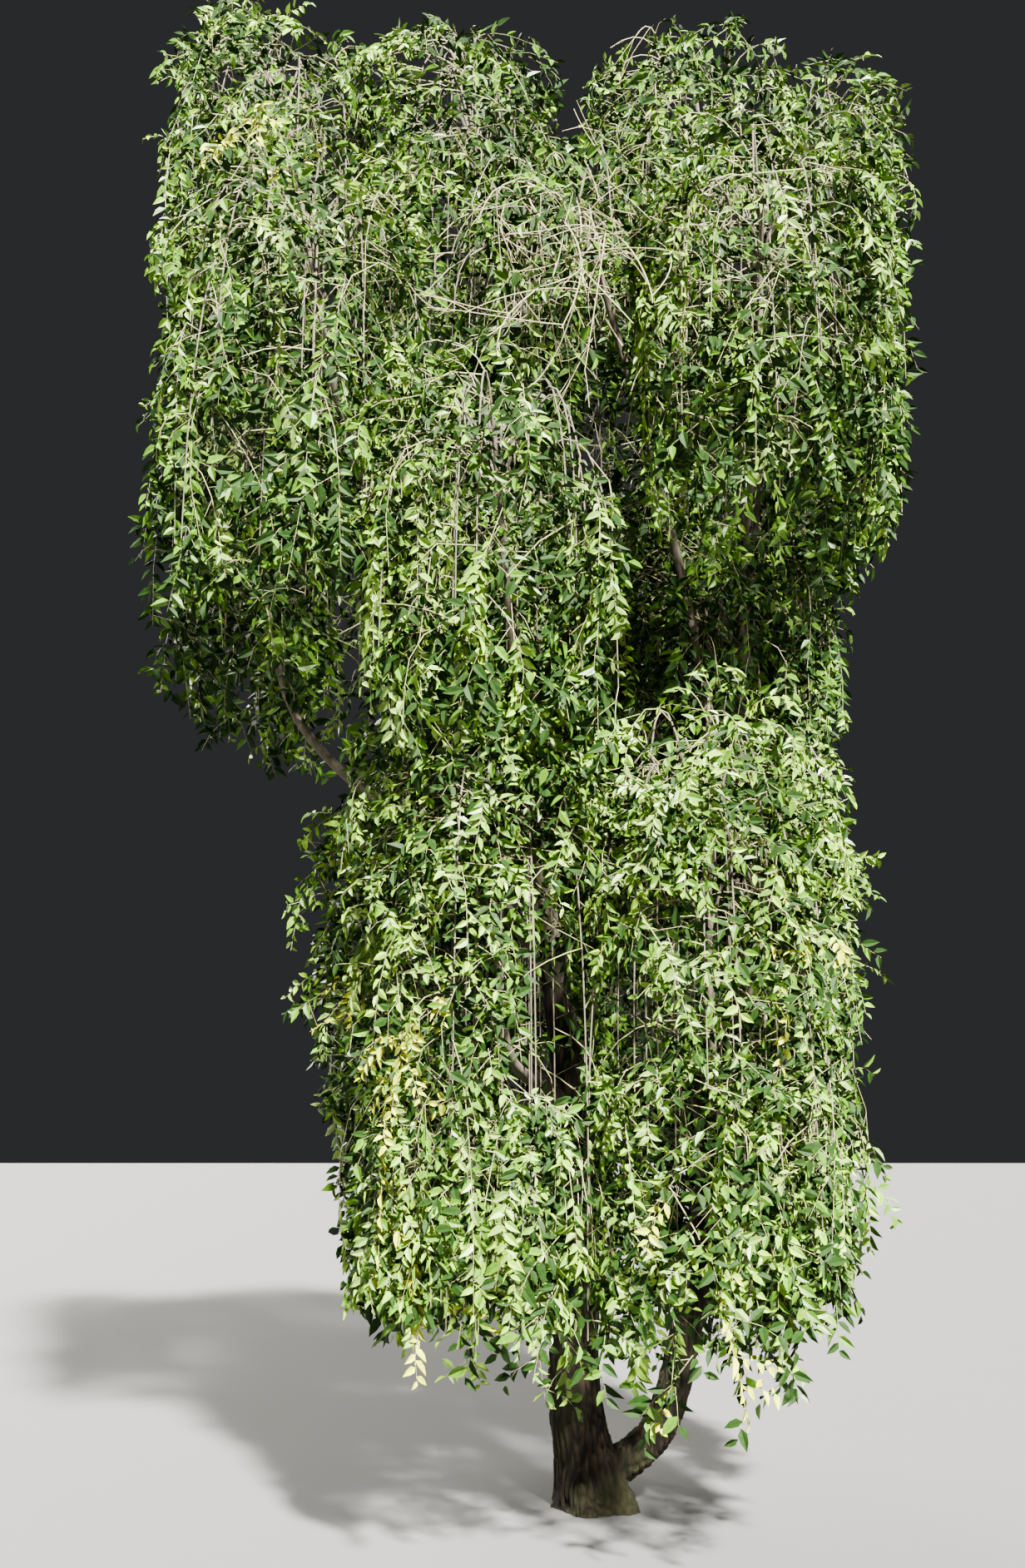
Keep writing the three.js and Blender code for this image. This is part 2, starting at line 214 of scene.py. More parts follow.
# Shoots and leaves: where each one leaves its own stretch of a twig, and how far sprays face out and up
DEALT_JITTER = (0.2, 0.8)
FACING_OUT = 0.7
FACING_UP = 0.5

# Leafy shoots
SHOOTS_FROM = 0.1
SHOOTS_OVER = 0.88
SHOOT_TILT = 0.5
SHOOT_ONWARD = 0.5
SHOOT_ASIDE = (0.5, 1.3)
SHOOT_OUTWARD = (0.2, 0.35)
SHORT_SHOOT_BIAS = 1.3
SHOOT_LENGTHS = ((0, 0.25, 0.75, 1), (0.8, 1, 0.85, 0.55))
SHOOT_STEPS = (0.36, 0.34, 0.3)
SHOOT_SWAY = 0.3
SHOOT_SAG = 0.25
SHOOT_END_KEEP = 0.8
SHOOT_END_SWAY = 0.6
SHOOT_END_SAG = 0.6
SHOOT_PAST_TWIG = 0.04
SHOOT_RADIUS = 0.0016
SHOOT_TIP_RADIUS = 0.0006

# Leaves on them
TIP_LEAVES_FROM = 0.55
SHOOT_LEAVES_FROM = 0.12
SPRAY_TILT = 0.55
LEAF_ONWARD = 0.6
LEAF_SPLAY = (0.7, 1.1)
LEAF_DROOP = (0.05, 0.35)
LEAF_SWAY = 0.22
LEAF_TURN = 0.42
LEAF_SIZES = (0.78, 1.15)
LEAF_SIZE_ALONG = ((0, 0.2, 0.7, 1), (0.72, 1, 1, 0.66))
HEM_LEAVES_OVER = (0.1, 0.9)

# Dead twigs: where their branches leave the stem, what way they keep from and how they bow
DEAD_SEED = 101
DEAD_FEET = (0, 0.8)
DEAD_AWAY_FROM = (0, 0.6, 0.1)
DEAD_REACH = (0.75, 1.05)
DEAD_BOW = 0.2
DEAD_RISE = 0.1
# How many twigs a branch has and how long they are at most, then the same for a twig's tips
DEAD_TWIGS = (6, 0.62)
DEAD_TIPS = (2, 0.28)
DEAD_TWIGS_AT = (0.3, 1.0)
DEAD_LENGTHS = (0.45, 1.0)
DEAD_STEPS = (0.36, 0.36, 0.32)
DEAD_ONWARD = 0.6
DEAD_SPREAD = 0.6
DEAD_SAG = 0.2
DEAD_END_BEND = 1.5
DEAD_END_SAG = 0.6

Bell = namedtuple("Bell", "name limb share x y wide deep roof hem entry", defaults=(BOUGH_ENTRY,))

# The space of each mass: the limb its bough leaves and where, then its middle, half widths and heights
BELLS = (
    Bell("crown_left", "trunk", 1, -1.58, -0.06, 0.6, 0.82, 6.97, 4.88),
    Bell("crown_middle", "trunk", 0.94, -0.64, 0, 0.56, 0.84, 6.9, 4.5),
    Bell("crown_right", "right_stem", 1, 0.56, 0, 0.58, 0.84, 6.9, 4.6),
    Bell("crown_back", "trunk", 0.88, -0.18, 1.12, 0.7, 0.56, 6.5, 3.0),
    Bell("side_left", "trunk", 0.86, -1.68, 0.06, 0.52, 0.8, 5.3, 3.38, LOW_ENTRY),
    Bell("front_left", "bough_crown_left", 0.4, -1.24, -1.06, 0.6, 0.56, 5.65, 3.5),
    Bell("back_left", "bough_crown_left", 0.34, -1.24, 1.06, 0.64, 0.6, 5.75, 3.4),
    Bell("front_middle", "trunk", 0.84, -0.44, -1.21, 0.56, 0.5, 4.58, 2.85),
    Bell("front_right", "bough_crown_right", 0.42, 0.68, -1.06, 0.58, 0.56, 5.7, 3.75),
    Bell("side_right", "bough_crown_right", 0.34, 1.2, 0, 0.48, 0.8, 6.64, 4.05),
    Bell("back_right", "bough_crown_right", 0.36, 0.86, 1.06, 0.62, 0.6, 5.9, 3.4),
    Bell("skirt_left", "trunk", 0.66, -0.87, -0.12, 0.5, 0.62, 3.2, 0.78),
    Bell("skirt_front_left", "trunk", 0.62, -0.48, -0.86, 0.54, 0.52, 3.29, 0.5),
    Bell("skirt_front_right", "right_stem", 0.62, 0.4, -0.86, 0.55, 0.52, 3.29, 0.5),
    Bell("skirt_right", "right_stem", 0.6, 0.86, 0, 0.45, 0.68, 3.3, 0.64),
    Bell("skirt_back_right", "right_stem", 0.54, 0.4, 0.83, 0.56, 0.54, 3.5, 0.64),
    Bell("skirt_back_left", "trunk", 0.56, -0.5, 0.83, 0.56, 0.54, 3.5, 0.66),
)
# Dead twigs, and the leafy shoots behind them, most of them with the dark green of painted shade
DEAD_BELL = Bell("bare_twigs", "right_stem", 0.95, -0.1, -0.66, 0.6, 0.42, 5.86, 4.6)
FILL_BELL = DEAD_BELL._replace(x=-0.32, y=-0.1, wide=0.3, deep=0.5, roof=6.2)
# Where the dead twigs spread
TANGLE = DEAD_BELL._replace(x=-0.02, y=-1.12, wide=0.66, deep=0.45, roof=5.5, hem=4.15)
# Leafy shoots round the limbs between the crown and the skirt, most of them with the dark green of painted
# shade
WAIST_BELLS = (
    Bell("crown_middle", "trunk", 0.94, -0.4, 0.12, 0.66, 0.76, 4.75, 2.95),
    Bell("crown_right", "right_stem", 1, 0.5, 0.25, 0.62, 0.66, 4.7, 3.0),
)
WAIST_STEM = (0.12, 0.62)
# Share of the sprays of the fill and the waist that get the dark green of painted shade
WAIST_SHADE = 0.7
# All that twigs and leaves grow in. A bell's place in this list seeds its growth
LEAFY_BELLS = (*BELLS, FILL_BELL, DEAD_BELL, *WAIST_BELLS)

# Masses whose twigs and leaves are joined, and what else grows with those of the front
GROUPS = {
    "top": ("crown_left", "crown_middle", "crown_right"),
    "back": ("crown_back", "back_left", "back_right"),
    "sides": ("side_left", "side_right", "front_left"),
    "front": ("front_middle", "front_right"),
    "skirt_front": ("skirt_front_left", "skirt_front_right", "skirt_right"),
    "skirt_back": ("skirt_left", "skirt_back_left", "skirt_back_right"),
}
WITH_FRONT = LEAFY_BELLS[len(BELLS) :]

# The bells of the skirt have roofs below this height, and those with lighter leaves below the next: painted
# light, with less of the painted shade that the crown gets
SKIRT_BELOW = 4.0
LIGHT_BELOW = 4.6
# The skirt's outline from the front: height, left edge and right edge
SKIRT_OUTLINE = np.array(
    [
        (0.55, -0.7, 0.74),
        (0.85, -0.9, 0.92),
        (1.2, -0.97, 1.06),
        (1.5, -1.02, 1.08),
        (2.1, -1.22, 1.1),
        (2.4, -1.23, 1.07),
        (3.2, -1.12, 0.98),
    ]
)
# How high its front hem hangs, from left to right: place across and height
SKIRT_HEM = np.array(
    [
        (-1.1, 0.95),
        (-0.95, 0.74),
        (-0.42, 0.76),
        (-0.3, 0.48),
        (-0.2, 0.48),
        (-0.12, 0.5),
        (0.0, 0.42),
        (0.16, 0.42),
        (0.4, 0.48),
        (0.7, 0.62),
        (0.81, 0.82),
        (0.95, 1.05),
    ]
)
# From where to where, front to back, that hem passes into the level one
HEM_FRONT = (-0.5, 0.1)

# Hollows without leaves: middle and half widths
HOLLOWS = (
    (-0.06, -1.0, 4.24, 0.24, 0.8, 0.27),
    (-0.54, -0.75, 5.15, 0.15, 0.6, 0.17),
    (-0.12, -1.2, 1.9, 0.22, 0.34, 0.24),
    (-1.55, -0.3, 3.25, 0.25, 0.5, 0.2),
)

# Places where sprays are young and yellow-green, made bright as painted sunlight through the leaves: middle
# and reach
YOUNG_SUNLIT_PLACES = (
    (-1.1, -0.65, 2.0, 0.2),
    (-0.86, -1.02, 1.8, 0.2),
    (-0.86, -1.02, 1.46, 0.19),
    (-0.66, -1.2, 1.05, 0.2),
    (0.69, -1.0, 2.27, 0.26),
    (0.52, -1.1, 1.89, 0.17),
    (0.31, -1.2, 0.72, 0.2),
    (-0.06, -1.3, 1.6, 0.12),
    (0.9, -0.8, 4.9, 0.2),
    (-1.35, -1.4, 5.35, 0.2),
)
YOUNG_SUNLIT_SHARE = 0.85

# Greens by number, and the shares of the sprays up to each one, from the deepest on. The deepest is a
# darker green dealt at random, and also the painted shade of sprays deep inside
# The greyish green is a painted sheen
# The young yellow-green is partly painted sunlight shining through the leaves
DEEP_AND_PAINTED_SHADE, GREYISH_SHEEN_PAINTED, YOUNG_AND_SUNLIT = 0, 3, 4
# The crown gets more of the deepest green, painted shade, and the low masses more of the lighter greens,
# painted light
CROWN_GREENS = (0.42, 0.79, 0.94)
LOW_GREENS = (0.18, 0.53, 0.9)
MIXED_SHARE = 0.25

# Wood of branches, shoots and dry twigs, by number
BRANCH, SHOOT, DRY = 0, 1, 2

# A leaf one long and nearly one wide, folded along its midrib: foot, one edge, tip and the other edge
LEAF_POINTS = np.array(
    [
        (0, 0, 0),
        (0.27, 0.45, 0.09),
        (0.62, 0.37, 0.05),
        (1, 0, -0.1),
        (0.27, -0.45, 0.09),
        (0.62, -0.37, 0.05),
    ]
)
LEAF_FACES = np.array([(0, 3, 2, 1), (0, 4, 5, 3)])


# Settings


def length_setting(name, description, default):
    """A setting in metres."""
    return FloatProperty(name=name, description=description, default=default, unit="LENGTH")


def angle_setting(name, description, degrees):
    """A setting that is an angle."""
    return FloatProperty(name=name, description=description, default=math.radians(degrees), subtype="ANGLE")


def plain_setting(name, description, default):
    """A setting without a unit."""
    return FloatProperty(name=name, description=description, default=default)


def count_setting(name, description, default):
    """A setting that counts things."""
    return IntProperty(name=name, description=description, default=default, min=1)


def vector_setting(name, description, default, subtype="COLOR"):
    """A setting that is a colour, or a place or a direction."""
    return FloatVectorProperty(name=name, description=description, default=default, subtype=subtype)


class ElmLimbs(bpy.types.PropertyGroup):
    """Sizes of the two stems and the boughs."""

    foot_radius: length_setting("Foot radius", "Radius of the trunk at the ground", 0.128)
    tip_radius: length_setting("Trunk tip radius", "Radius at the end of the trunk", 0.058)
    taper: plain_setting("Taper", "Power of the trunk's narrowing", 0.8)
    flare_radius: length_setting("Flare", "How far the root flare stands out", 0.062)
    flare_height: length_setting("Flare height", "Height over which the flare fades", 0.13)
    flare_lobes: count_setting("Flare lobes", "Number of root ridges", 5)
    lobe_share: plain_setting("Lobe share", "Share of the flare that goes into its ridges", 0.3)
    stem_foot_radius: length_setting("Second stem foot", "Radius of the second stem's foot", 0.078)
    stem_tip_radius: length_setting("Second stem tip", "Radius of the second stem's end", 0.042)
    bough_share: plain_setting("Bough share", "Bough root radius as a share of its limb's", 0.62)
    bough_most: length_setting("Thickest bough", "Largest radius of a bough's root", 0.046)
    bough_tip: length_setting("Bough tip radius", "Radius of a bough's tip", 0.015)
    furrow_depth: length_setting("Furrow depth", "Depth of the bark's furrows", 0.014)
    furrow_spacing: length_setting("Furrow spacing", "Distance between bark ridges", 0.027)
    bark_detail: length_setting("Bark detail", "Edge of the bark's finest faces", 0.0075)


class ElmCrown(bpy.types.PropertyGroup):
    """Sizes and numbers of the branches, shoots and leaves."""

    branches: count_setting("Branches", "Arching branches in each mass", 15)
    skirt_branches: count_setting("Skirt branches", "Arching branches in each mass of the skirt", 18)
    branch_radius: length_setting("Branch radius", "Radius of an arching branch's foot", 0.006)
    hanger_spacing: length_setting("Hanger spacing", "Distance between hanging twigs on a branch", 0.15)
    hanger_least: length_setting("Shortest hanger", "Length of the shortest hanging twigs", 0.3)
    hanger_most: length_setting("Longest hanger", "Length of the longest hanging twigs", 0.95)
    hanger_radius: length_setting("Hanger radius", "Radius of a hanging twig's foot", 0.0031)
    shoot_spacing: length_setting("Shoot spacing", "Distance between leafy shoots on a twig", 0.08)
    shoot_least: length_setting("Shortest shoot", "Length of the shortest leafy shoots", 0.1)
    shoot_most: length_setting("Longest shoot", "Length of the longest leafy shoots", 0.4)
    sprig_share: plain_setting("Sprigs", "Share of twigs near the roof that also send up a sprig", 0.6)
    hem_rise: length_setting("Ragged hem", "How far the skirt's hem rises at most", 0.3)
    crown_hem_rise: length_setting("Ragged crown", "How far the crown's hem rises at most", 0.85)
    hem_share: plain_setting("Twigs to the hem", "Share of low twigs that hang down to the hem", 0.8)
    hem_from: length_setting("Low twigs", "Height over the hem below which twigs are low", 1.1)
    bare_share: plain_setting("Bare twigs", "Share of hanging twigs that carry no leaves", 0.13)
    leaf_spacing: length_setting("Leaf spacing", "Distance between leaves on a shoot", 0.0235)
    leaf_length: length_setting("Leaf length", "Length of a full leaf", 0.052)
    leaf_width: length_setting("Leaf width", "Width of a full leaf", 0.0245)
    tip_leaf_share: plain_setting("Tip leaves", "Size of the leaves at the ends of hanging twigs", 1.2)
    # Shade leaves are the leaves inside the crown that are painted dark as shade
    shade_leaf_share: plain_setting("Shade leaves", "Size of the dark leaves inside the crown", 1.35)
    hem_leaf_share: plain_setting("Hem leaves", "Size of the leaves near the hem", 1.2)
    dead_branches: count_setting("Dead branches", "Branches of the dead tangle", 14)


class ElmColours(bpy.types.PropertyGroup):
    """Colours of bark, twigs, leaves, the floor and the lights."""

    # The bark's colours are darker than real bark: painted shade, as the trunk stands in the crown's shadow
    bark_ridge: vector_setting("Bark ridges", "Colour of the bark's ridges", (0.017, 0.0115, 0.006))
    bark_furrow: vector_setting("Bark furrows", "Colour deep in the bark", (0.003, 0.002, 0.001))
    moss: vector_setting("Moss", "Green film on the foot of the trunk", (0.013, 0.0155, 0.004))
    young_bark: vector_setting("Young bark", "Colour of boughs and branches", (0.07, 0.058, 0.036))
    shoot: vector_setting("Shoots", "Colour of the hanging shoots", (0.2, 0.2, 0.075))
    dead: vector_setting("Dead twigs", "Colour of dead twigs", (0.3, 0.26, 0.14))
    # The deep green is a darker green at random, and the painted shade of shoots deep inside the foliage
    leaf_deep: vector_setting("Deep leaves", "Darkest leaves", (0.006, 0.019, 0.002))
    leaf_mid: vector_setting("Green leaves", "Leaves of a full green", (0.04, 0.1, 0.003))
    leaf_light: vector_setting("Light leaves", "Lighter leaves", (0.12, 0.23, 0.009))
    # Greyish leaves: a painted sheen, laid into the base colour
    leaf_sheen_painted: vector_setting("Greyish leaves", "Leaves with a greyish painted_sheen", (0.1, 0.175, 0.026))
    # Young leaves: the yellow-green of young sprays, made brighter as painted sunlight shining through them
    leaf_young: vector_setting("Young leaves", "Yellow-green leaves of young sprays", (0.27, 0.31, 0.004))
    floor: vector_setting("Floor", "Colour of the floor", (0.06, 0.06, 0.062))
    light: vector_setting("Lights", "Colour of the lights", (1, 0.97, 0.88))
    surround: vector_setting("Surround", "Colour of the even light all round", (0.93, 0.96, 1))


class ElmStage(bpy.types.PropertyGroup):
    """Where the camera and the lights stand, how strong the lights are and how wide the floor is."""

    camera_place: vector_setting("Camera", "Where the camera stands", (-0.36, -6.75, 1.6), "TRANSLATION")
    camera_pitch: angle_setting("Camera pitch", "How far the camera looks up", 12)
    lens: plain_setting("Lens", "Focal length in millimetres on a 36 mm sensor", 35.03)
    key_from: vector_setting("Key side", "Way to the key light", (0.3, -0.86, 0.84), "DIRECTION")
    key_angle: angle_setting("Key softness", "How wide the key light is in the sky", 4)
    key_strength: plain_setting("Key light", "Strength of the light from the front right", 82.0)
    fill_from: vector_setting("Fill side", "Way to the fill light", (-0.55, 0.75, 0.6), "DIRECTION")
    fill_angle: angle_setting("Fill softness", "How wide the fill light is in the sky", 40)
    fill_strength: plain_setting("Fill light", "Strength of the light from the back left", 12.0)
    sky_strength: plain_setting("Surround", "Strength of the even light all round", 0.03)
    floor_radius: length_setting("Floor radius", "Half the floor's width", 40.0)


# Lines in space


def unit(vectors):
    """The same directions, each of length one."""
    length = np.linalg.norm(vectors, axis=-1, keepdims=True)
    return vectors / np.maximum(length, SMALLEST)


class Line:
    """A smooth line, held as close points with their distances along it."""

    def __init__(self, points):
        self.points = np.asarray(points, float)
        steps = np.linalg.norm(np.diff(self.points, axis=0), axis=1)
        self.along = np.concatenate(([0.0], np.cumsum(steps)))
        self.length = self.along[-1]

    def at(self, share):
        """Places at these shares of the length."""
        where = np.clip(share, 0, 1) * self.length
        return np.stack([np.interp(where, self.along, axis) for axis in self.points.T], -1)

    def heading(self, share):
        """Unit directions at these shares of the length."""
        share = np.asarray(share, float)
        step = 1 / len(self.points)
        return unit(self.at(np.minimum(share + step, 1)) - self.at(np.maximum(share - step, 0)))


def smooth_through(path, steps=30):
    """A Line through a path's points, eased by the square roots of their distances."""
    path = [np.array(point, float) for point in path]
    ends = [2 * path[0] - path[1], *path, 2 * path[-1] - path[-2]]
    found = [path[0]]
    for p0, p1, p2, p3 in zip(ends, ends[1:], ends[2:], ends[3:]):
        d0, d1, d2 = (math.sqrt(np.linalg.norm(b - a)) for a, b in ((p0, p1), (p1, p2), (p2, p3)))
        start = ((p1 - p0) / d0 - (p2 - p0) / (d0 + d1) + (p2 - p1) / d1) * d1
        end = ((p2 - p1) / d1 - (p3 - p1) / (d1 + d2) + (p3 - p2) / d2) * d1
        for step in range(1, steps + 1):
            t = step / steps
            bend = (-3 * p1 + 3 * p2 - 2 * start - end) * t**2
            found.append(p1 + start * t + bend + (2 * p1 - 2 * p2 + start + end) * t**3)
    return Line(found)


def bezier(controls, t):
    """Places at t on cubics whose four controls are on the second last axis."""
    t = np.asarray(t)[..., None]
    a, b, c, d = (controls[..., k, :] for k in range(4))
    return a * (1 - t) ** 3 + 3 * b * t * (1 - t) ** 2 + 3 * c * t**2 * (1 - t) + d * t**3


def bezier_heading(controls, t):
    """Unit directions at t on such cubics."""
    t = np.asarray(t)[..., None]
    a, b, c, d = (controls[..., k, :] for k in range(4))
    return unit((b - a) * (1 - t) ** 2 + 2 * (c - b) * t * (1 - t) + (d - c) * t**2)


def cubic_line(a, b, c, d, steps=40):
    """One cubic as a Line."""
    controls = np.broadcast_to(np.array([a, b, c, d]), (steps + 1, 4, 3))
    return Line(bezier(controls, np.linspace(0, 1, steps + 1)))


# Limbs

Limb = namedtuple("Limb", "line radius_at")


def narrowing(thick, thin):
    """The radius of an evenly tapering limb at shares of its length."""
    return lambda share, angle: thick + (thin - thick) * share


def trunk_radius(sizes, share, angle):
    """The trunk's radius at shares of its length and angles round it."""
    height = share * (TRUNK_TOP + BELOW_CUT) - BELOW_CUT
    narrow = sizes.foot_radius + (sizes.tip_radius - sizes.foot_radius) * share**sizes.taper
    lobes = 1 + sizes.lobe_share * np.cos(sizes.flare_lobes * angle)
    return narrow + sizes.flare_radius * lobes * np.exp(-np.maximum(height, 0) / sizes.flare_height)


def bough_radius(thick, thin):
    """A bough's radius, with a collar where it leaves its limb."""
    plain = narrowing(thick, thin)
    return lambda share, angle: plain(share, angle) * (1 + COLLAR_SWELL * np.exp(-share / COLLAR_FADE))


def entry_and_hub(place, root):
    """Where a bough enters its bell, and where the stem inside the bell ends."""
    height = place.roof - place.hem
    hub = np.array([place.x, place.y, place.roof - HUB_DEPTH * height])
    back = np.array([root[0] - place.x, root[1] - place.y, 0.0])
    longest = ENTRY_BACK * min(place.wide, place.deep)
    back *= min(1.0, longest / max(np.linalg.norm(back), SMALLEST))
    entry = hub + back
    entry[2] = place.hem + place.entry * height
    return entry, hub


def grow_limbs(sizes):
    """The trunk, the second stem and the boughs, by name."""
    limbs = {
        "trunk": Limb(smooth_through(TRUNK_PATH), lambda share, angle: trunk_radius(sizes, share, angle)),
        "right_stem": Limb(
            smooth_through(STEM_PATH), narrowing(sizes.stem_foot_radius, sizes.stem_tip_radius)
        ),
    }
    for place in (*BELLS, DEAD_BELL):
        parent = limbs[place.limb]
        share = min(place.share, FARTHEST_ROOT)
        root = parent.line.at(share)
        entry, hub = entry_and_hub(place, root)
        reach = np.linalg.norm(entry - root)
        onward = unit(entry - root)
        leave = unit(parent.line.heading(share) * (1 - LEAVE_BLEND) + onward * LEAVE_BLEND)
        arrival = unit(hub - entry)
        line = cubic_line(
            root, root + leave * LEAVE_PULL * reach, entry - arrival * ARRIVAL_PULL * reach, entry
        )
        thick = min(sizes.bough_share * float(parent.radius_at(share, 0.0)), sizes.bough_most)
        limbs["bough_" + place.name] = Limb(line, bough_radius(thick, sizes.bough_tip))
    return limbs


def stem_in_bell(place, limbs):
    """The upright stem of a mass, which grows on from its bough's tip. The waist's is the bough itself."""
    bough = limbs["bough_" + place.name].line
    if place in WAIST_BELLS:
        return Line(bough.at(np.linspace(*WAIST_STEM, 30)))
    entry, hub = entry_and_hub(place, bough.at(0.0))
    heading = bough.heading(1.0)
    bend = entry + heading * BEND_IN_BELL * np.linalg.norm(hub - entry)
    return cubic_line(entry, entry + (bend - entry) * 2 / 3, hub + (bend - hub) * 2 / 3, hub)


# The space of a bell


def in_skirt(place):
    """Whether a bell is one of the skirt's."""
    return place.roof < SKIRT_BELOW


def outwardness(place, points):
    """How far out points are in a bell: nothing at its middle, one at its wall."""
    return np.hypot((points[..., 0] - place.x) / place.wide, (points[..., 1] - place.y) / place.deep)


def roof_at(place, outward, y):
    """Height of a bell's domed roof, which is lower towards the front."""
    dome = DOME_SHARE * min(place.wide, place.deep)
    round_top = place.roof - dome + dome * np.sqrt(np.maximum(1 - np.asarray(outward) ** 2, 0))
    return round_top - FRONT_FALL * np.maximum(place.y - y, 0)


def across_skirt(points, reach):
    """Where points stand across the skirt, each pulled in to its own reach of the outline."""
    height, left, right = SKIRT_OUTLINE.T
    left_edge = np.interp(points[..., 2], height, left) * reach
    right_edge = np.interp(points[..., 2], height, right) * reach
    return np.clip(points[..., 0], left_edge, right_edge)


def keep_inside(place, points, reach, slack=ROOF_SLACK):
    """The points, each pulled in to its own reach of the bell's wall, its roof and the solids' box."""
    low = np.clip((place.roof - points[..., 2]) / (place.roof - place.hem), 0, 1)
    outward = outwardness(place, points) / (1 - HEM_TAPER * low)
    pull = np.minimum(1, reach / np.maximum(outward, SMALLEST))
    kept = points.copy()
    kept[..., 0] = place.x + (points[..., 0] - place.x) * pull
    kept[..., 1] = place.y + (points[..., 1] - place.y) * pull
    if in_skirt(place):
        kept[..., 0] = across_skirt(kept, reach)
    roof = roof_at(place, np.minimum(outward, ROOF_RIM), kept[..., 1])
    kept[..., 2] = np.minimum(kept[..., 2], roof + slack)
    margin = (WALL_MOST - reach) * BOX_MARGIN + HEM_DRAW * low
    for axis in (0, 1):
        kept[..., axis] = np.clip(kept[..., axis], CAD_BOX[0][axis] + margin, CAD_BOX[1][axis] - margin)
    kept[..., 2] = np.clip(kept[..., 2], 0, CAD_BOX[1][2] + TOP_SLACK)
    return kept


def hem_at(place, points):
    """Height of the hem under points: ragged in the front of the skirt, level elsewhere."""
    hem = np.full(len(points), place.hem)
    if in_skirt(place):
        front = np.interp(points[:, 1], HEM_FRONT, (1, 0))
        ragged = np.interp(points[:, 0], *SKIRT_HEM.T)
        hem += front * (ragged - hem)
    return hem


def cover(points):
    """Length of the shortest way out of the foliage from each point."""
    angles = np.arange(COVER_SIDES) * 2 * math.pi / COVER_SIDES
    ways = [(math.cos(a), math.sin(a), rise) for a in angles for rise in COVER_RISES]
    least = np.full(len(points), np.inf)
    for way in (*ways, UP):
        steps = np.arange(1, COVER_STEPS + 1)[:, None] * COVER_STEP * unit(np.array(way))
        along = points[:, None] + steps
        found = np.zeros(along.shape[:2], bool)
        for place in BELLS:
            outward = outwardness(place, along)
            under = along[..., 2] < roof_at(place, np.minimum(outward, 1), along[..., 1])
            found |= (outward < 1) & under & (along[..., 2] > place.hem)
        least = np.minimum(least, found.sum(1) * COVER_STEP)
    return least


def in_gap(points):
    """Which points stand in one of the dark hollows."""
    found = np.zeros(points.shape[:-1], bool)
    for x, y, z, wide, deep, high in HOLLOWS:
        away = (points - (x, y, z)) / (wide, deep, high)
        found |= np.sum(away**2, -1) < 1
    return found


def in_clump(place, points):
    """Which points stand in a clump of shoots, and not in the dark between two clumps."""
    found = [noise.noise(Vector(point / CLUMP_SIZE)) for point in points]
    return np.array(found) > (LOW_CLUMP_LEAST if place.roof < LIGHT_BELOW else CROWN_CLUMP_LEAST)


# Growth in a bell


def branch_count(place, crown):
    """How many branches arch in a bell: more in the skirt, few among the dead twigs."""
    if place == DEAD_BELL:
        return crown.branches // 3
    return crown.skirt_branches if in_skirt(place) else crown.branches


def arching_branches(place, stem, crown, rng):
    """Branches that rise from the stem to the roof and fall towards the hem, as controls."""
    found = []
    least, most = np.array(CAD_BOX)[:, :2]
    count = branch_count(place, crown)
    for index in range(count):
        outward = math.sqrt((index + INNERMOST) / count) * SPREAD
        angle = index * GOLDEN_ANGLE + SWAY * (rng.random() - 0.5)
        foot = stem.at(FOOT_FROM + FOOT_RANGE * (1 - outward) * rng.uniform(*INWARD_SHARE))
        tip = np.array(
            [
                place.x + place.wide * outward * math.cos(angle),
                place.y + place.deep * outward * math.sin(angle),
                place.hem + rng.uniform(*TIP_OVER_HEM) * (place.roof - place.hem),
            ]
        )
        if in_skirt(place):
            tip[0] = across_skirt(tip, BRANCH_REACH)
        tip[:2] = np.clip(tip[:2], least + BRANCH_MARGIN, most - BRANCH_MARGIN)
        roof = roof_at(place, outward, tip[1]) - CREST_UNDER_ROOF - rng.uniform(*CREST_SLACK)
        pull = roof + CREST_OVER_FOOT * (roof - foot[2]) + CREST_OVER_TIP * (roof - tip[2])
        crest = foot + (tip - foot) * CREST_AT
        crest[2] = pull
        over = tip.copy()
        over[2] = pull
        found.append(np.array([foot, crest, over, tip]))
    return np.array(found)


def in_turn(order):
    """One and minus one in turn, for growth to both sides."""
    return np.where(order % 2 == 0, 1.0, -1.0)


def twig_feet(branches, crown, rng):
    """Where hanging twigs leave the branches, and which way."""
    feet, ways = [], []
    for controls in branches:
        line = cubic_line(*controls)
        count = max(int(line.length * TWIGGED_SHARE / crown.hanger_spacing), LEAST_TWIGS)
        shares = np.linspace(FIRST_TWIG_AT, 1.0, count) + rng.uniform(-TWIG_JITTER, TWIG_JITTER, count)
        along = line.heading(shares)
        level = unit(along * NEARLY_LEVEL)
        turn = in_turn(np.arange(count)) * rng.uniform(*TWIG_TURN, count)
        x = level[:, 0] * np.cos(turn) - level[:, 1] * np.sin(turn)
        y = level[:, 0] * np.sin(turn) + level[:, 1] * np.cos(turn)
        turned = np.stack([x, y, np.zeros(count)], -1)
        lift = rng.uniform(*TWIG_LIFT, count)[:, None] * UP
        feet.append(line.at(shares))
        ways.append(unit(along * TWIG_ONWARD + turned * TWIG_ASIDE + lift))
    return np.concatenate(feet), np.concatenate(ways)


def sagging(level, slack, outwards, less, down):
    """A twig's step outwards and down: the slacker it is, the more it falls."""
    return level * (outwards - less * slack) - UP * down * slack


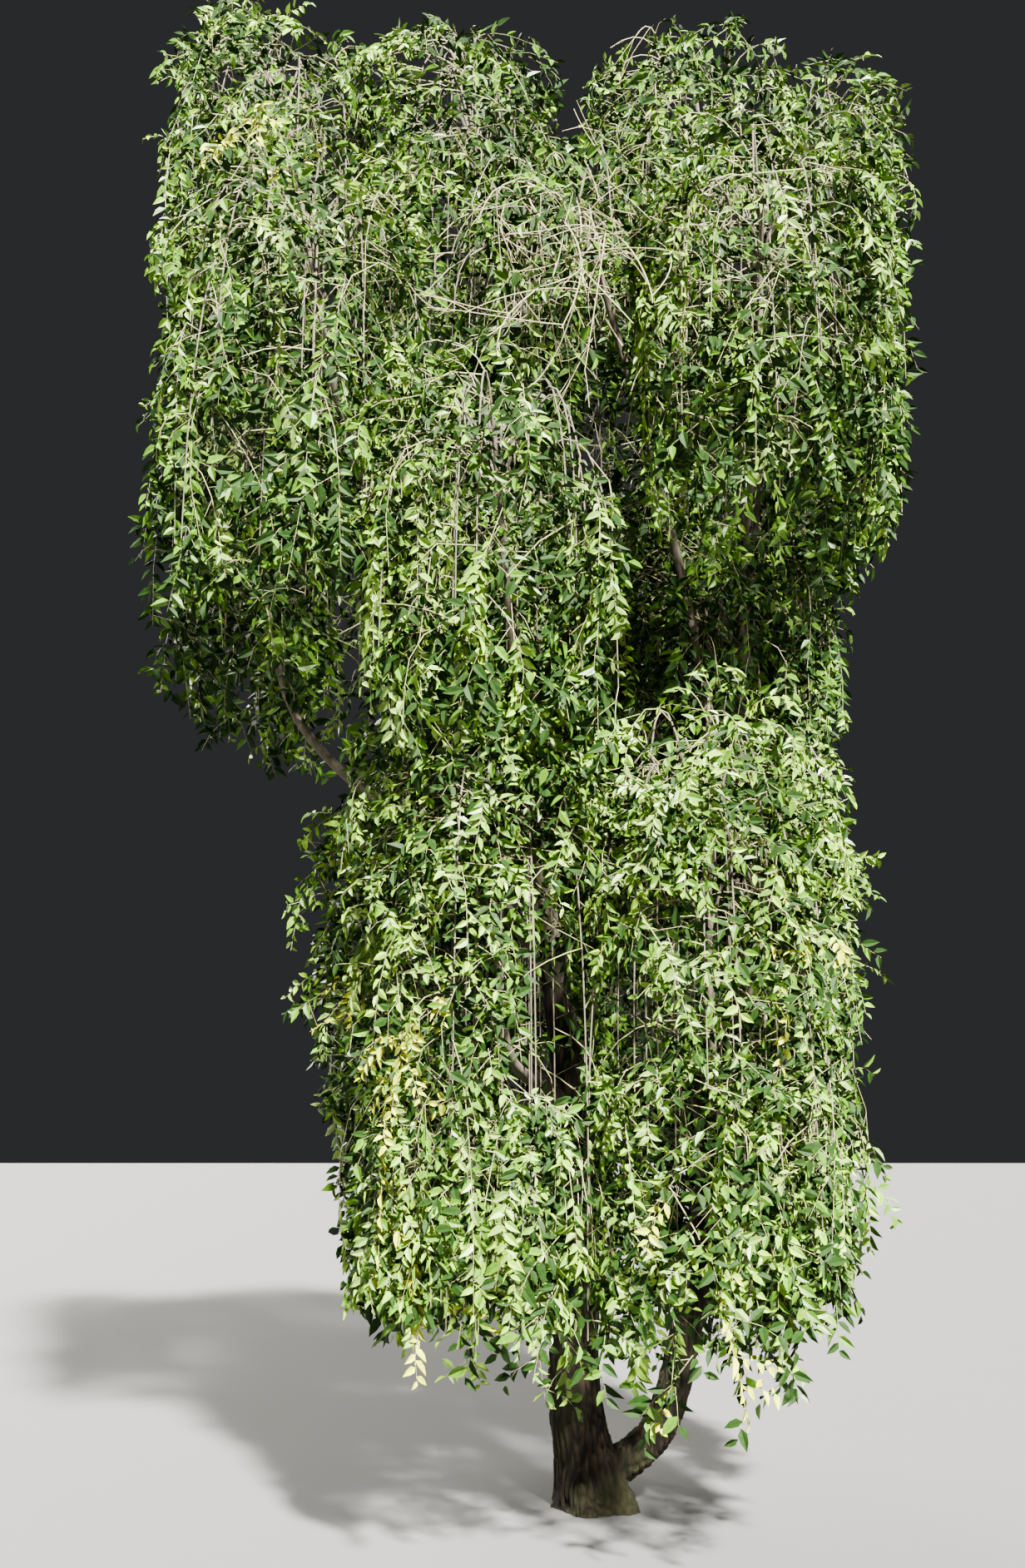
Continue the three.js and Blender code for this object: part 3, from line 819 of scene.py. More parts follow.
def hanging_twigs(place, branches, crown, rng):
    """Twigs that leave the branches to both sides and hang, as controls."""
    foot, leave = twig_feet(branches, crown, rng)
    longer = crown.hanger_most - crown.hanger_least
    length = crown.hanger_least + longer * rng.random(len(foot)) ** SHORT_TWIG_BIAS
    rise = crown.hem_rise if in_skirt(place) else crown.crown_hem_rise
    hem = hem_at(place, foot) + rise * rng.random(len(foot)) ** HIGH_HEM_BIAS
    room = np.maximum(foot[:, 2] - hem, 0)
    fits = room > LEAST_ROOM
    foot, leave, length, hem, room = (values[fits] for values in (foot, leave, length, hem, room))
    to_hem = (rng.random(len(foot)) < crown.hem_share) & (room < crown.hem_from)
    drift = rng.normal(0, TWIG_DRIFT, foot.shape) * LEVEL
    slack = rng.uniform(np.where(to_hem, HEM_FALL, LEAST_FALL), MOST_FALL)
    full = room / (HEM_FALL_SHARE * slack)
    length = np.where(to_hem, full, np.minimum(length, room / FALL_SHARE))[:, None]
    slack = slack[:, None]
    level = leave * LEVEL
    second = foot + leave * TWIG_FIRST_STEP * length
    third = second + (sagging(level, slack, *TWIG_MIDDLE) + drift) * length
    last = third + (sagging(level, slack, *TWIG_END) - drift * DRIFT_BACK) * length
    last[:, 2] = np.maximum(last[:, 2], np.maximum(hem, hem_at(place, last)))
    controls = np.stack([foot, second, third, last], 1)
    reach = rng.uniform(WALL_LEAST, WALL_MOST, (len(foot), 1))
    controls[:, 1:] = keep_inside(place, controls[:, 1:], reach)
    controls = np.concatenate([controls, roof_sprigs(place, foot, leave, crown, rng)])
    passed = bezier(controls[:, None], np.broadcast_to(GAP_CHECKS, (len(controls), len(GAP_CHECKS))))
    return controls[~in_gap(passed).any(1)]


def roof_sprigs(place, foot, leave, crown, rng):
    """Short twigs near the roof that rise over it before they bend down, as controls."""
    near = foot[:, 2] > roof_at(place, outwardness(place, foot), foot[:, 1]) - SPRIG_UNDER_ROOF
    near &= rng.random(len(foot)) < crown.sprig_share
    foot, leave = foot[near], leave[near] * LEVEL
    length = rng.uniform(*SPRIG_LENGTH, (len(foot), 1))
    points = [foot]
    for outwards, up in SPRIG_STEPS:
        points.append(points[-1] + (leave * outwards + UP * up) * length)
    controls = np.stack(points, 1)
    slack = rng.uniform(0, SPRIG_SLACK, (len(foot), 1))
    controls[:, 1:] = keep_inside(place, controls[:, 1:], 1.0, slack)
    return controls


def without_leaves(place, twigs, crown, rng):
    """Which hanging twigs carry no leaves: some of those inside that fall and end over the hem."""
    bare = rng.random(len(twigs)) < crown.bare_share
    bare &= twigs[:, 3, 2] > place.hem + BARE_OVER_HEM
    bare &= twigs[:, 3, 2] < twigs[:, 0, 2]
    return bare & (outwardness(place, twigs[:, 2]) < BARE_WITHIN)


def dealt_along(controls, spacing, start, rng):
    """Places dealt out along cubics: the cubic of each, its number there and its share."""
    length = np.linalg.norm(np.diff(controls, axis=1), axis=2).sum(1)
    counts = np.maximum((length * (1 - start) / spacing).astype(int), 2)
    owner = np.repeat(np.arange(len(controls)), counts)
    first = np.concatenate(([0], np.cumsum(counts)[:-1]))
    order = np.arange(len(owner)) - first[owner]
    share = (order + rng.uniform(*DEALT_JITTER, len(owner))) / counts[owner]
    return owner, order, share


def across_spray(place, foot, along, order, tilt):
    """The side that each shoot or leaf leaves its twig on, and the way its spray faces."""
    middle = np.array([place.x, place.y, 0.0])
    outward = unit((foot - middle) * LEVEL)
    facing = unit(outward * FACING_OUT + UP * FACING_UP + tilt)
    facing = unit(facing - along * np.sum(facing * along, 1, keepdims=True))
    side = np.cross(along, facing) * in_turn(order)[:, None]
    return side, facing


def leafy_shoots(place, twigs, crown, rng):
    """Short shoots to both sides of the hanging twigs, as controls, and the twig of each."""
    owner, order, share = dealt_along(twigs, crown.shoot_spacing, SHOOTS_FROM, rng)
    t = SHOOTS_FROM + SHOOTS_OVER * share
    foot = bezier(twigs[owner], t)
    along = bezier_heading(twigs[owner], t)
    side, facing = across_spray(place, foot, along, order, rng.normal(0, SHOOT_TILT, foot.shape))
    aside = rng.uniform(*SHOOT_ASIDE, (len(t), 1))
    outward = rng.normal(*SHOOT_OUTWARD, (len(t), 1))
    leave = unit(along * SHOOT_ONWARD + side * aside + facing * outward)
    longer = crown.shoot_most - crown.shoot_least
    length = crown.shoot_least + longer * rng.random((len(t), 1)) ** SHORT_SHOOT_BIAS
    length *= np.interp(share, *SHOOT_LENGTHS)[:, None]
    sway = rng.normal(0, SHOOT_SWAY, foot.shape)
    first, middle, end = SHOOT_STEPS
    second = foot + leave * first * length
    third = second + unit(leave + sway - UP * SHOOT_SAG) * middle * length
    falling = unit(leave * SHOOT_END_KEEP + sway * SHOOT_END_SWAY - UP * SHOOT_END_SAG)
    controls = np.stack([foot, second, third, third + falling * end * length], 1)
    reach = rng.uniform(WALL_LEAST, WALL_MOST, (len(t), 1)) + SHOOT_PAST_TWIG
    controls[:, 1:] = keep_inside(place, controls[:, 1:], reach)
    clear = ~in_gap(controls[:, 2]) & in_clump(place, controls[:, 2])
    return controls[clear], owner[clear]


def leaves_on_shoots(place, shoots, start, large, crown, rng):
    """Two ranks of leaves: their points, as (leaves, points, 3), and the shoot of each."""
    owner, order, share = dealt_along(shoots, crown.leaf_spacing * large, start, rng)
    t = start + (1 - start) * share
    foot = bezier(shoots[owner], t)
    along = bezier_heading(shoots[owner], t)
    tilt = rng.normal(0, SPRAY_TILT, (len(shoots), 3))[owner]
    side, facing = across_spray(place, foot, along, order, tilt)
    splay = rng.uniform(*LEAF_SPLAY, len(owner))[:, None]
    droop = rng.uniform(*LEAF_DROOP, len(owner))[:, None]
    sway = rng.normal(0, LEAF_SWAY, foot.shape)
    heading = unit(along * LEAF_ONWARD + side * splay - UP * droop + sway)
    facing = unit(facing + rng.normal(0, LEAF_TURN, foot.shape))
    size = np.interp(share, *LEAF_SIZE_ALONG) * rng.uniform(*LEAF_SIZES, len(owner)) * large
    size *= np.interp(foot[:, 2] - place.hem, HEM_LEAVES_OVER, (crown.hem_leaf_share, 1))
    return leaf_points(foot, heading, facing, size, crown), owner


def leaf_points(foot, heading, facing, size, crown):
    """The points of leaves, from their feet, headings, the ways that they face and their sizes."""
    across = unit(np.cross(facing, heading))
    normal = np.cross(heading, across)
    length = (crown.leaf_length * size)[:, None, None]
    width = (crown.leaf_width * size)[:, None, None]
    x, y, z = (LEAF_POINTS[None, :, k, None] for k in range(3))
    along = foot[:, None] + heading[:, None] * x * length
    return along + across[:, None] * y * width + normal[:, None] * z * length


def spray_greens(place, twigs, depth, rng):
    """Which green the leaves of each hanging twig have: the dark green of painted shade deep inside, and in
    its places the young yellow-green, partly painted sunlight.
    """
    steps = LOW_GREENS if place.roof < LIGHT_BELOW else CROWN_GREENS
    green = np.searchsorted(steps, rng.random(len(twigs)))
    green[depth > SHADED_COVER] = DEEP_AND_PAINTED_SHADE
    for x, y, z, reach in YOUNG_SUNLIT_PLACES:
        away = np.linalg.norm(twigs[:, 2] - (x, y, z), axis=1)
        green[(away < reach) & (rng.random(len(twigs)) < YOUNG_SUNLIT_SHARE)] = YOUNG_AND_SUNLIT
    return green


def in_shade(place, shoots, rng):
    """Which shoots are far enough inside their bell to get dark leaves as painted shade."""
    middle = shoots[:, 2]
    outward = outwardness(place, middle)
    under = roof_at(place, np.minimum(outward, 1), middle[:, 1]) - middle[:, 2]
    shell = np.maximum(outward, 1 - under / SHELL_DEPTH)
    return rng.random(len(shoots)) < np.interp(shell, SHADED_SHELL, SHADED_SHARE)


def mixed_greens(green, rng):
    """The greens of single leaves: most like their spray's, some of the next one."""
    other = np.minimum(green + 1, GREYISH_SHEEN_PAINTED)
    return np.where((green < YOUNG_AND_SUNLIT) & (rng.random(len(green)) < MIXED_SHARE), other, green)


def wood_of_mass(branches, twigs, shoots, owner, bare, crown):
    """Meshes of a mass's branches, twigs and shoots, and the wood of each one's faces."""
    twig_wood = np.where(bare, DRY, SHOOT)
    meshes, dealt = [], []
    for controls, rings, sides, thick, thin, wood in (
        (branches, 12, 5, crown.branch_radius, BRANCH_TIP_RADIUS, np.full(len(branches), BRANCH)),
        (twigs, 6, 3, crown.hanger_radius, TWIG_TIP_RADIUS, twig_wood),
        (shoots, 3, 3, SHOOT_RADIUS, SHOOT_TIP_RADIUS, twig_wood[owner]),
    ):
        made = tapering_tubes(controls, rings, sides, thick, thin)
        meshes.append(made)
        dealt.append(np.repeat(wood, len(made[1]) // len(controls)))
    return meshes, dealt


def leaves_of_mass(place, twigs, shoots, owner, bare, depth, crown, rng):
    """Points of a mass's leaves, and the green of each."""
    green = spray_greens(place, twigs, depth, rng)
    # Shaded shoots get the dark green of painted shade, on larger leaves
    shade = in_shade(place, shoots, rng) | (green[owner] == DEEP_AND_PAINTED_SHADE)
    lit = ~bare[owner] & ~shade
    dark = ~bare[owner] & shade
    points, dealt = [], []
    for controls, start, spray_green, large in (
        (twigs[~bare], TIP_LEAVES_FROM, green[~bare], crown.tip_leaf_share),
        (shoots[lit], SHOOT_LEAVES_FROM, green[owner][lit], 1.0),
        (shoots[dark], SHOOT_LEAVES_FROM, np.full(dark.sum(), DEEP_AND_PAINTED_SHADE), crown.shade_leaf_share),
    ):
        some_points, bearer = leaves_on_shoots(place, controls, start, large, crown, rng)
        points.append(some_points)
        dealt.append(mixed_greens(spray_green[bearer], rng))
    return points, dealt


def grow_mass(place, limbs, crown):
    """One mass of foliage, as wood_of_mass and leaves_of_mass give it."""
    rng = np.random.default_rng(LEAFY_BELLS.index(place) + 1)
    branches = arching_branches(place, stem_in_bell(place, limbs), crown, rng)
    twigs = hanging_twigs(place, branches, crown, rng)
    depth = cover(twigs[:, 2])
    share = np.interp(depth, (THIN_COVER, THICK_COVER), (1, THICK_COVER_SHARE))
    kept = rng.random(len(twigs)) < share
    twigs, depth = twigs[kept], depth[kept]
    # Most sprays of the fill and the waist are made to count as deep inside, so they get the dark green of
    # painted shade
    if place in (FILL_BELL, *WAIST_BELLS):
        depth[rng.random(len(depth)) < WAIST_SHADE] = np.inf
    bare = without_leaves(place, twigs, crown, rng)
    shoots, owner = leafy_shoots(place, twigs, crown, rng)
    wood = wood_of_mass(branches, twigs, shoots, owner, bare, crown)
    return wood, leaves_of_mass(place, twigs, shoots, owner, bare, depth, crown, rng)


# Dead twigs


def spreading_branches(place, stem, count, rng):
    """Bent branches from the stem to all sides of the bell, as controls."""
    foot = stem.at(rng.uniform(*DEAD_FEET, count))
    aim = unit(rng.normal(0, 1, (count, 3)) - DEAD_AWAY_FROM)
    aim *= rng.uniform(*DEAD_REACH, (count, 1))
    half = (place.wide, place.deep, (place.roof - place.hem) / 2)
    goal = (place.x, place.y, (place.roof + place.hem) / 2) + aim * half
    way = goal - foot
    bow = rng.normal(0, DEAD_BOW, (2, count, 3)) + UP * DEAD_RISE
    return np.stack([foot, foot + way / 3 + bow[0], foot + way * 2 / 3 + bow[1], goal], 1)


def crossing_twigs(parents, count, longest, rng):
    """Bent twigs that leave their parents in all directions and cross each other."""
    owner = np.repeat(np.arange(len(parents)), count)
    t = rng.uniform(*DEAD_TWIGS_AT, len(owner))
    foot = bezier(parents[owner], t)
    along = bezier_heading(parents[owner], t)
    leave = unit(along * DEAD_ONWARD + rng.normal(0, DEAD_SPREAD, foot.shape))
    length = longest * rng.uniform(*DEAD_LENGTHS, (len(owner), 1))
    first, middle, end = DEAD_STEPS
    second = foot + leave * first * length
    bend = rng.normal(0, DEAD_SPREAD, foot.shape)
    turn = unit(leave + bend - UP * DEAD_SAG)
    third = second + turn * middle * length
    last = third + unit(turn + bend * DEAD_END_BEND - UP * DEAD_END_SAG) * end * length
    controls = np.stack([foot, second, third, last], 1)
    controls[..., 1] = np.maximum(controls[..., 1], CAD_BOX[0][1])
    return controls


# Meshes


def mesh_piece(name, points, faces, materials, dealt=None, smooth=True):
    """One piece made from arrays of points and of faces with three or four corners."""
    mesh = bpy.data.meshes.new(name)
    corners = faces.shape[1]
    mesh.vertices.add(len(points))
    mesh.vertices.foreach_set("co", np.ascontiguousarray(points, np.float32).ravel())
    mesh.loops.add(faces.size)
    mesh.loops.foreach_set("vertex_index", np.ascontiguousarray(faces, np.int32).ravel())
    mesh.polygons.add(len(faces))
    mesh.polygons.foreach_set("loop_start", np.arange(0, faces.size, corners, dtype=np.int32))
    for material in materials:
        mesh.materials.append(material)
    if dealt is not None:
        mesh.polygons.foreach_set("material_index", np.ascontiguousarray(dealt, np.int32))
    mesh.polygons.foreach_set("use_smooth", np.full(len(faces), smooth))
    mesh.update(calc_edges=True)
    piece = bpy.data.objects.new(name, mesh)
    bpy.context.scene.collection.objects.link(piece)
    return piece


def settle(piece, slot, *nodes):
    """A piece rides on the tree and stands for its nodes. Its slot is not used."""
    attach(piece, "root")
    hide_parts(*nodes)


def skins(centres, across, other, radii):
    """Open tubes round rows of centres (tubes, rings, 3), with radii (tubes, rings, sides)."""
    count, rings, sides = radii.shape
    angle = np.arange(sides) * 2 * math.pi / sides
    ring = across[:, :, None] * np.cos(angle)[:, None] + other[:, :, None] * np.sin(angle)[:, None]
    points = centres[:, :, None] + ring * radii[..., None]
    base = (np.arange(count) * rings * sides)[:, None, None] + (np.arange(rings - 1) * sides)[:, None]
    here = np.arange(sides)
    onward = (here + 1) % sides
    faces = np.stack([base + here, base + onward, base + onward + sides, base + here + sides], -1)
    return points.reshape(-1, 3), faces.reshape(-1, 4)


def tapering_tubes(controls, rings, sides, thick, thin):
    """Tubes round cubics, as points and four-cornered faces."""
    share = np.linspace(0, 1, rings)
    centres = bezier(controls[:, None], np.broadcast_to(share, (len(controls), rings)))
    along = unit(np.gradient(centres, axis=1))
    whole = unit(centres[:, -1] - centres[:, 0])
    upright = np.abs(whole[:, 2:]) > UPRIGHT
    reference = unit(np.cross(whole, np.where(upright, BESIDE_UPRIGHT, UP)))
    across = unit(reference[:, None] - along * np.sum(reference[:, None] * along, 2, keepdims=True))
    radii = np.broadcast_to((thick + (thin - thick) * share)[:, None], (len(controls), rings, sides))
    return skins(centres, across, np.cross(along, across), radii)


def limb_tube(limb, sides, rings, crowding=1.0):
    """A tube round a limb, as points and four-cornered faces. Crowding draws its rings to the foot."""
    share = np.linspace(0, 1, rings) ** crowding
    along = limb.line.heading(share)
    across = unit(np.cross(along, BESIDE_LIMBS))
    angle = np.arange(sides) * 2 * math.pi / sides
    radius = np.broadcast_to(limb.radius_at(share[:, None], angle), (rings, sides))
    return skins(limb.line.at(share)[None], across[None], np.cross(along, across)[None], radius[None])


def joined(parts):
    """Points and faces of several meshes as those of one."""
    points, faces, start = [], [], 0
    for some_points, some_faces in parts:
        points.append(some_points)
        faces.append(some_faces + start)
        start += len(some_points)
    return np.concatenate(points), np.concatenate(faces)


def fill_holes(made):
    """Closes a mesh along its open edges."""
    bmesh.ops.holes_fill(made, edges=[edge for edge in made.edges if edge.is_boundary], sides=0)


def capped(mesh):
    """Closes the open ends of tubes."""
    made = bmesh.new()
    made.from_mesh(mesh)
    fill_holes(made)
    bmesh.ops.recalc_face_normals(made, faces=made.faces)
    made.to_mesh(mesh)
    made.free()


def remeshed(piece, size):
    """Fuses a piece's bodies into one skin of even faces, cut flat at the ground."""
    remesh = piece.modifiers.new("skin", "REMESH")
    remesh.mode = "VOXEL"
    remesh.voxel_size = size
    depsgraph = bpy.context.evaluated_depsgraph_get()
    skin = bpy.data.meshes.new_from_object(piece.evaluated_get(depsgraph))
    piece.modifiers.clear()
    piece.data = skin
    made = bmesh.new()
    made.from_mesh(skin)
    whole = [*made.verts, *made.edges, *made.faces]
    cut = (0, 0, CUT_HEIGHT)
    bmesh.ops.bisect_plane(made, geom=whole, plane_co=cut, plane_no=(0, 0, 1), clear_inner=True)
    fill_holes(made)
    bmesh.ops.triangulate(made, faces=[face for face in made.faces if len(face.verts) > 4])
    made.to_mesh(skin)
    made.free()


def bark_relief(places, spacing):
    """Height of long interlacing plates, from nothing in a furrow to one on a ridge."""
    found = np.empty(len(places))
    for index, (x, y, z) in enumerate(places):
        sway = noise.noise(Vector(places[index] * PLATE_SWAY_RATE)) * PLATE_SWAY
        slow = Vector((x / spacing + sway, y / spacing - sway, z / spacing * PLATE_STRETCH))
        nearest, second = noise.voronoi(slow)[0][:2]
        plate = min(1.0, (second - nearest) * PLATE_EDGE)
        crack = min(1.0, abs(noise.noise(slow * CRACK_RATE + CRACK_SHIFT)) * CRACK_EDGE)
        found[index] = plate * (1 - CRACK_DEPTH + CRACK_DEPTH * crack)
    return found


def furrowed(mesh, sizes):
    """Presses the bark's relief into a skin, less where the limbs are thin, and keeps it for the finish."""
    places = np.empty(len(mesh.vertices) * 3, np.float32)
    mesh.vertices.foreach_get("co", places)
    places = places.reshape(-1, 3).astype(float)
    normals = np.empty(places.size, np.float32)
    mesh.vertex_normals.foreach_get("vector", normals)
    relief = bark_relief(places, sizes.furrow_spacing)
    thin = np.clip((TRUNK_TOP - places[:, 2]) / TRUNK_TOP, LEAST_RELIEF, 1)
    rise = (relief - UNMOVED_RELIEF) * sizes.furrow_depth * thin
    moved = places + normals.reshape(-1, 3) * RELIEF_PUSH * rise[:, None]
    moved[:, 2] = np.maximum(moved[:, 2], 0)
    mesh.vertices.foreach_set("co", moved.astype(np.float32).ravel())
    held = mesh.attributes.new("relief", "FLOAT", "POINT")
    held.data.foreach_set("value", relief.astype(np.float32))
    mesh.polygons.foreach_set("use_smooth", np.full(len(mesh.polygons), True))
    mesh.update()


# Finishes


class Reading:
    """One socket of a finish. Sums and products of readings add the nodes that work them out."""

    def __init__(self, finish, socket):
        self.finish = finish
        self.socket = socket

    def math(self, operation, *values):
        """The reading of a new Math node."""
        return self.finish.node("ShaderNodeMath", {"operation": operation}, dict(enumerate(values)))

    def __add__(self, other):
        return self.math("ADD", self, other)

    __radd__ = __add__

    def __sub__(self, other):
        return self.math("SUBTRACT", self, other)

    def __rsub__(self, other):
        return self.math("SUBTRACT", other, self)

    def __mul__(self, other):
        return self.math("MULTIPLY", self, other)

    __rmul__ = __mul__


class Finish:
    """A material in the making."""

    def __init__(self, name):
        self.material = bpy.data.materials.new(name)
        self.material.use_nodes = True
        self.tree = self.material.node_tree
        self.tree.nodes.clear()

    def node(self, kind, settings, sockets, output=0):
        """Adds a node: its settings first, then the values or links of its sockets."""
        made = self.tree.nodes.new(kind)
        for name, value in settings.items():
            setattr(made, name, value)
        for name, value in sockets.items():
            if isinstance(value, Reading):
                self.tree.links.new(value.socket, made.inputs[name])
            else:
                made.inputs[name].default_value = value
        return Reading(self, made.outputs[output]) if made.outputs else None

    def place(self, stretch=(1, 1, 1)):
        """The place on the object, stretched along its axes."""
        where = self.node("ShaderNodeTexCoord", {}, {}, "Object")
        return self.node("ShaderNodeVectorMath", {"operation": "MULTIPLY"}, {0: where, 1: stretch})

    def noise(self, where, scale, detail):
        """Smooth noise from nothing to one."""
        return self.node("ShaderNodeTexNoise", {}, {"Vector": where, "Scale": scale, "Detail": detail})

    def ramp(self, value, low, high):
        """The value's way from low to high, as nothing to one."""
        sockets = {"Value": value, "From Min": low, "From Max": high}
        return self.node("ShaderNodeMapRange", {"interpolation_type": "SMOOTHSTEP"}, sockets)

    def mix(self, share, one, other):
        """One colour turning into the other."""
        one, other = (end if isinstance(end, Reading) else (*end, 1.0) for end in (one, other))
        return self.node("ShaderNodeMix", {"data_type": "RGBA"}, {0: share, 6: one, 7: other}, 2)

    def bump(self, height, strength, distance):
        """The surface's direction over fine relief."""
        sockets = {"Height": height, "Strength": strength, "Distance": distance}
        return self.node("ShaderNodeBump", {}, sockets)

    def closed(self, colour, roughness, normal=None, gloss=0.5):
        """The material, once its surface shader is in."""
        given = {"Base Color": colour, "Roughness": roughness, "Specular IOR Level": gloss}
        if normal is not None:
            given["Normal"] = normal
        shader = self.node("ShaderNodeBsdfPrincipled", {}, given)
        self.node("ShaderNodeOutputMaterial", {}, {"Surface": shader})
        return self.material


def shaded(colour, share):
    """A base colour made darker or lighter."""
    return tuple(min(share * part, 1.0) for part in colour)


def bark_finish(colours):
    """Dark furrowed bark, darker still as painted shade, with paler ridges and a green film near the
    ground.
    """
    bark = Finish("furrowed_bark")
    relief = bark.node("ShaderNodeAttribute", {"attribute_name": "relief"}, {}, "Fac")
    grain = bark.noise(bark.place(stretch=(1, 1, 0.14)), scale=85.0, detail=4.0)
    blotch = bark.noise(bark.place(), scale=5.0, detail=2.0)
    ridge = bark.ramp(0.6 * relief + 0.8 * grain, low=0.45, high=0.9)
    plates = bark.mix(ridge, colours.bark_furrow, colours.bark_ridge)
    height = bark.node("ShaderNodeSeparateXYZ", {}, {0: bark.place()}, 2)
    film = bark.ramp(blotch - 0.35 * height, low=0.3, high=0.55) * 0.55
    colour = bark.mix(film, plates, colours.moss)
    return bark.closed(colour, roughness=0.92, normal=bark.bump(grain, 0.8, distance=0.008), gloss=0.2)


def young_bark_finish(name, base, scale, roughness):
    """Smoother bark with lengthwise streaks and small pale pores."""
    bark = Finish(name)
    streak = bark.noise(bark.place(stretch=(1, 1, 0.25)), scale=scale, detail=4.0)
    pores = bark.ramp(bark.noise(bark.place(), scale=scale * 3, detail=2.0), low=0.62, high=0.7)
    colour = bark.mix(bark.ramp(streak, low=0.35, high=0.65), shaded(base, 0.6), base)
    colour = bark.mix(pores * 0.6, colour, shaded(base, 1.35))
    return bark.closed(colour, roughness, bark.bump(streak, 0.4, distance=0.002))


def leaf_finish(name, base, roughness, gloss):
    """A leaf with faint mottling and a soft gloss."""
    leaf = Finish(name)
    mottle = leaf.noise(leaf.place(), scale=70.0, detail=2.0)
    colour = leaf.mix(leaf.ramp(mottle, low=0.3, high=0.7), shaded(base, 0.82), shaded(base, 1.15))
    return leaf.closed(colour, roughness, gloss=gloss)


def floor_finish(base):
    """A pale even floor."""
    floor = Finish("pale_floor")
    cloud = floor.noise(floor.place(), scale=1.5, detail=2.0)
    return floor.closed(floor.mix(cloud, shaded(base, 0.97), base), roughness=0.9)


# Operators


class ELM_OT_stems(bpy.types.Operator):
    """Grows the trunk and the second stem with furrowed bark"""

    bl_idname = "elm.stems"
    bl_label = "Trunk and second stem"

    def execute(self, context):
        sizes = context.scene.elm_limbs
        limbs = grow_limbs(sizes)
        trunk = limb_tube(limbs["trunk"], sides=96, rings=260, crowding=1.3)
        stem = limb_tube(limbs["right_stem"], sides=72, rings=220)
        piece = mesh_piece("stems_bark", *joined([trunk, stem]), [])
        capped(piece.data)
        remeshed(piece, sizes.bark_detail)
        furrowed(piece.data, sizes)
        piece.data.materials.append(bark_finish(context.scene.elm_colours))
        settle(piece, "bark", "trunk", "right_stem")
        return {"FINISHED"}


class ELM_OT_boughs(bpy.types.Operator):
    """Grows the boughs and the stems inside the masses"""

    bl_idname = "elm.boughs"
    bl_label = "Boughs"

    def execute(self, context):
        sizes = context.scene.elm_limbs
        limbs = grow_limbs(sizes)
        names = [name for name in limbs if name.startswith("bough_")]
        made = [limb_tube(limbs[name], sides=14, rings=40) for name in names]
        for place in (*BELLS, DEAD_BELL):
            inner = Limb(stem_in_bell(place, limbs), narrowing(sizes.bough_tip, INNER_TIP_RADIUS))
            made.append(limb_tube(inner, sides=10, rings=16))
        points, faces = joined(made)
        noise.seed_set(BUMP_SEED)
        bumps = [noise.noise_vector(Vector(point * BUMP_RATE)) for point in points]
        points += np.array(bumps) * BUMP_HEIGHT
        finish = young_bark_finish("young_bark", context.scene.elm_colours.young_bark, 60.0, 0.85)
        piece = mesh_piece("boughs_bark", points, faces, [finish])
        settle(piece, "young_bark", *names)
        return {"FINISHED"}


class ELM_OT_foliage(bpy.types.Operator):
    """Grows branches, hanging shoots and leaves in every mass"""

    bl_idname = "elm.foliage"
    bl_label = "Branches, shoots and leaves"

    def execute(self, context):
        colours = context.scene.elm_colours
        limbs = grow_limbs(context.scene.elm_limbs)
        woods = [
            young_bark_finish("branch_bark", colours.young_bark, 120.0, 0.8),
            young_bark_finish("shoot_bark", colours.shoot, 200.0, 0.6),
            young_bark_finish("dry_bark", colours.dead, 200.0, 0.85),
        ]
        greens = [
            # The deepest green: a darker green that also paints the shade deep inside
            leaf_finish("leaf_deep", colours.leaf_deep, roughness=0.6, gloss=0.08),
            leaf_finish("leaf_green", colours.leaf_mid, roughness=0.42, gloss=0.2),
            leaf_finish("leaf_light", colours.leaf_light, roughness=0.42, gloss=0.25),
            # The greyish green is a painted sheen
            leaf_finish("leaf_greyish", colours.leaf_sheen_painted, roughness=0.4, gloss=0.25),
            # The young yellow-green, partly painted sunlight through the leaves
            leaf_finish("leaf_young", colours.leaf_young, roughness=0.5, gloss=0.2),
        ]
        bells = {place.name: place for place in BELLS}
        for group, names in GROUPS.items():
            places = [bells[name] for name in names]
            if group == "front":
                places.extend(WITH_FRONT)
            masses = [grow_mass(place, limbs, context.scene.elm_crown) for place in places]
            self.join_wood("twigs_" + group, [wood for wood, _ in masses], woods, names)
            self.join_leaves("leaves_" + group, [leaves for _, leaves in masses], greens, names)
        return {"FINISHED"}

    def join_wood(self, name, grown, woods, nodes):
        """Makes one piece of the branches, twigs and shoots of some masses."""
        points, faces = joined([mesh for meshes, _ in grown for mesh in meshes])
        dealt = np.concatenate([some for _, parts in grown for some in parts])
        settle(mesh_piece(name, points, faces, woods, dealt), "young_bark", *nodes)

    def join_leaves(self, name, grown, greens, nodes):
        """Makes one piece of the leaves of some masses."""
        points = np.concatenate([some for parts, _ in grown for some in parts])
        dealt = np.concatenate([some for _, parts in grown for some in parts])
        starts = np.arange(len(points)) * len(LEAF_POINTS)
        faces = (starts[:, None, None] + LEAF_FACES).reshape(-1, 4)
        dealt = np.repeat(dealt, len(LEAF_FACES))
        piece = mesh_piece(name, points.reshape(-1, 3), faces, greens, dealt, smooth=False)
        settle(piece, "foliage", *nodes)


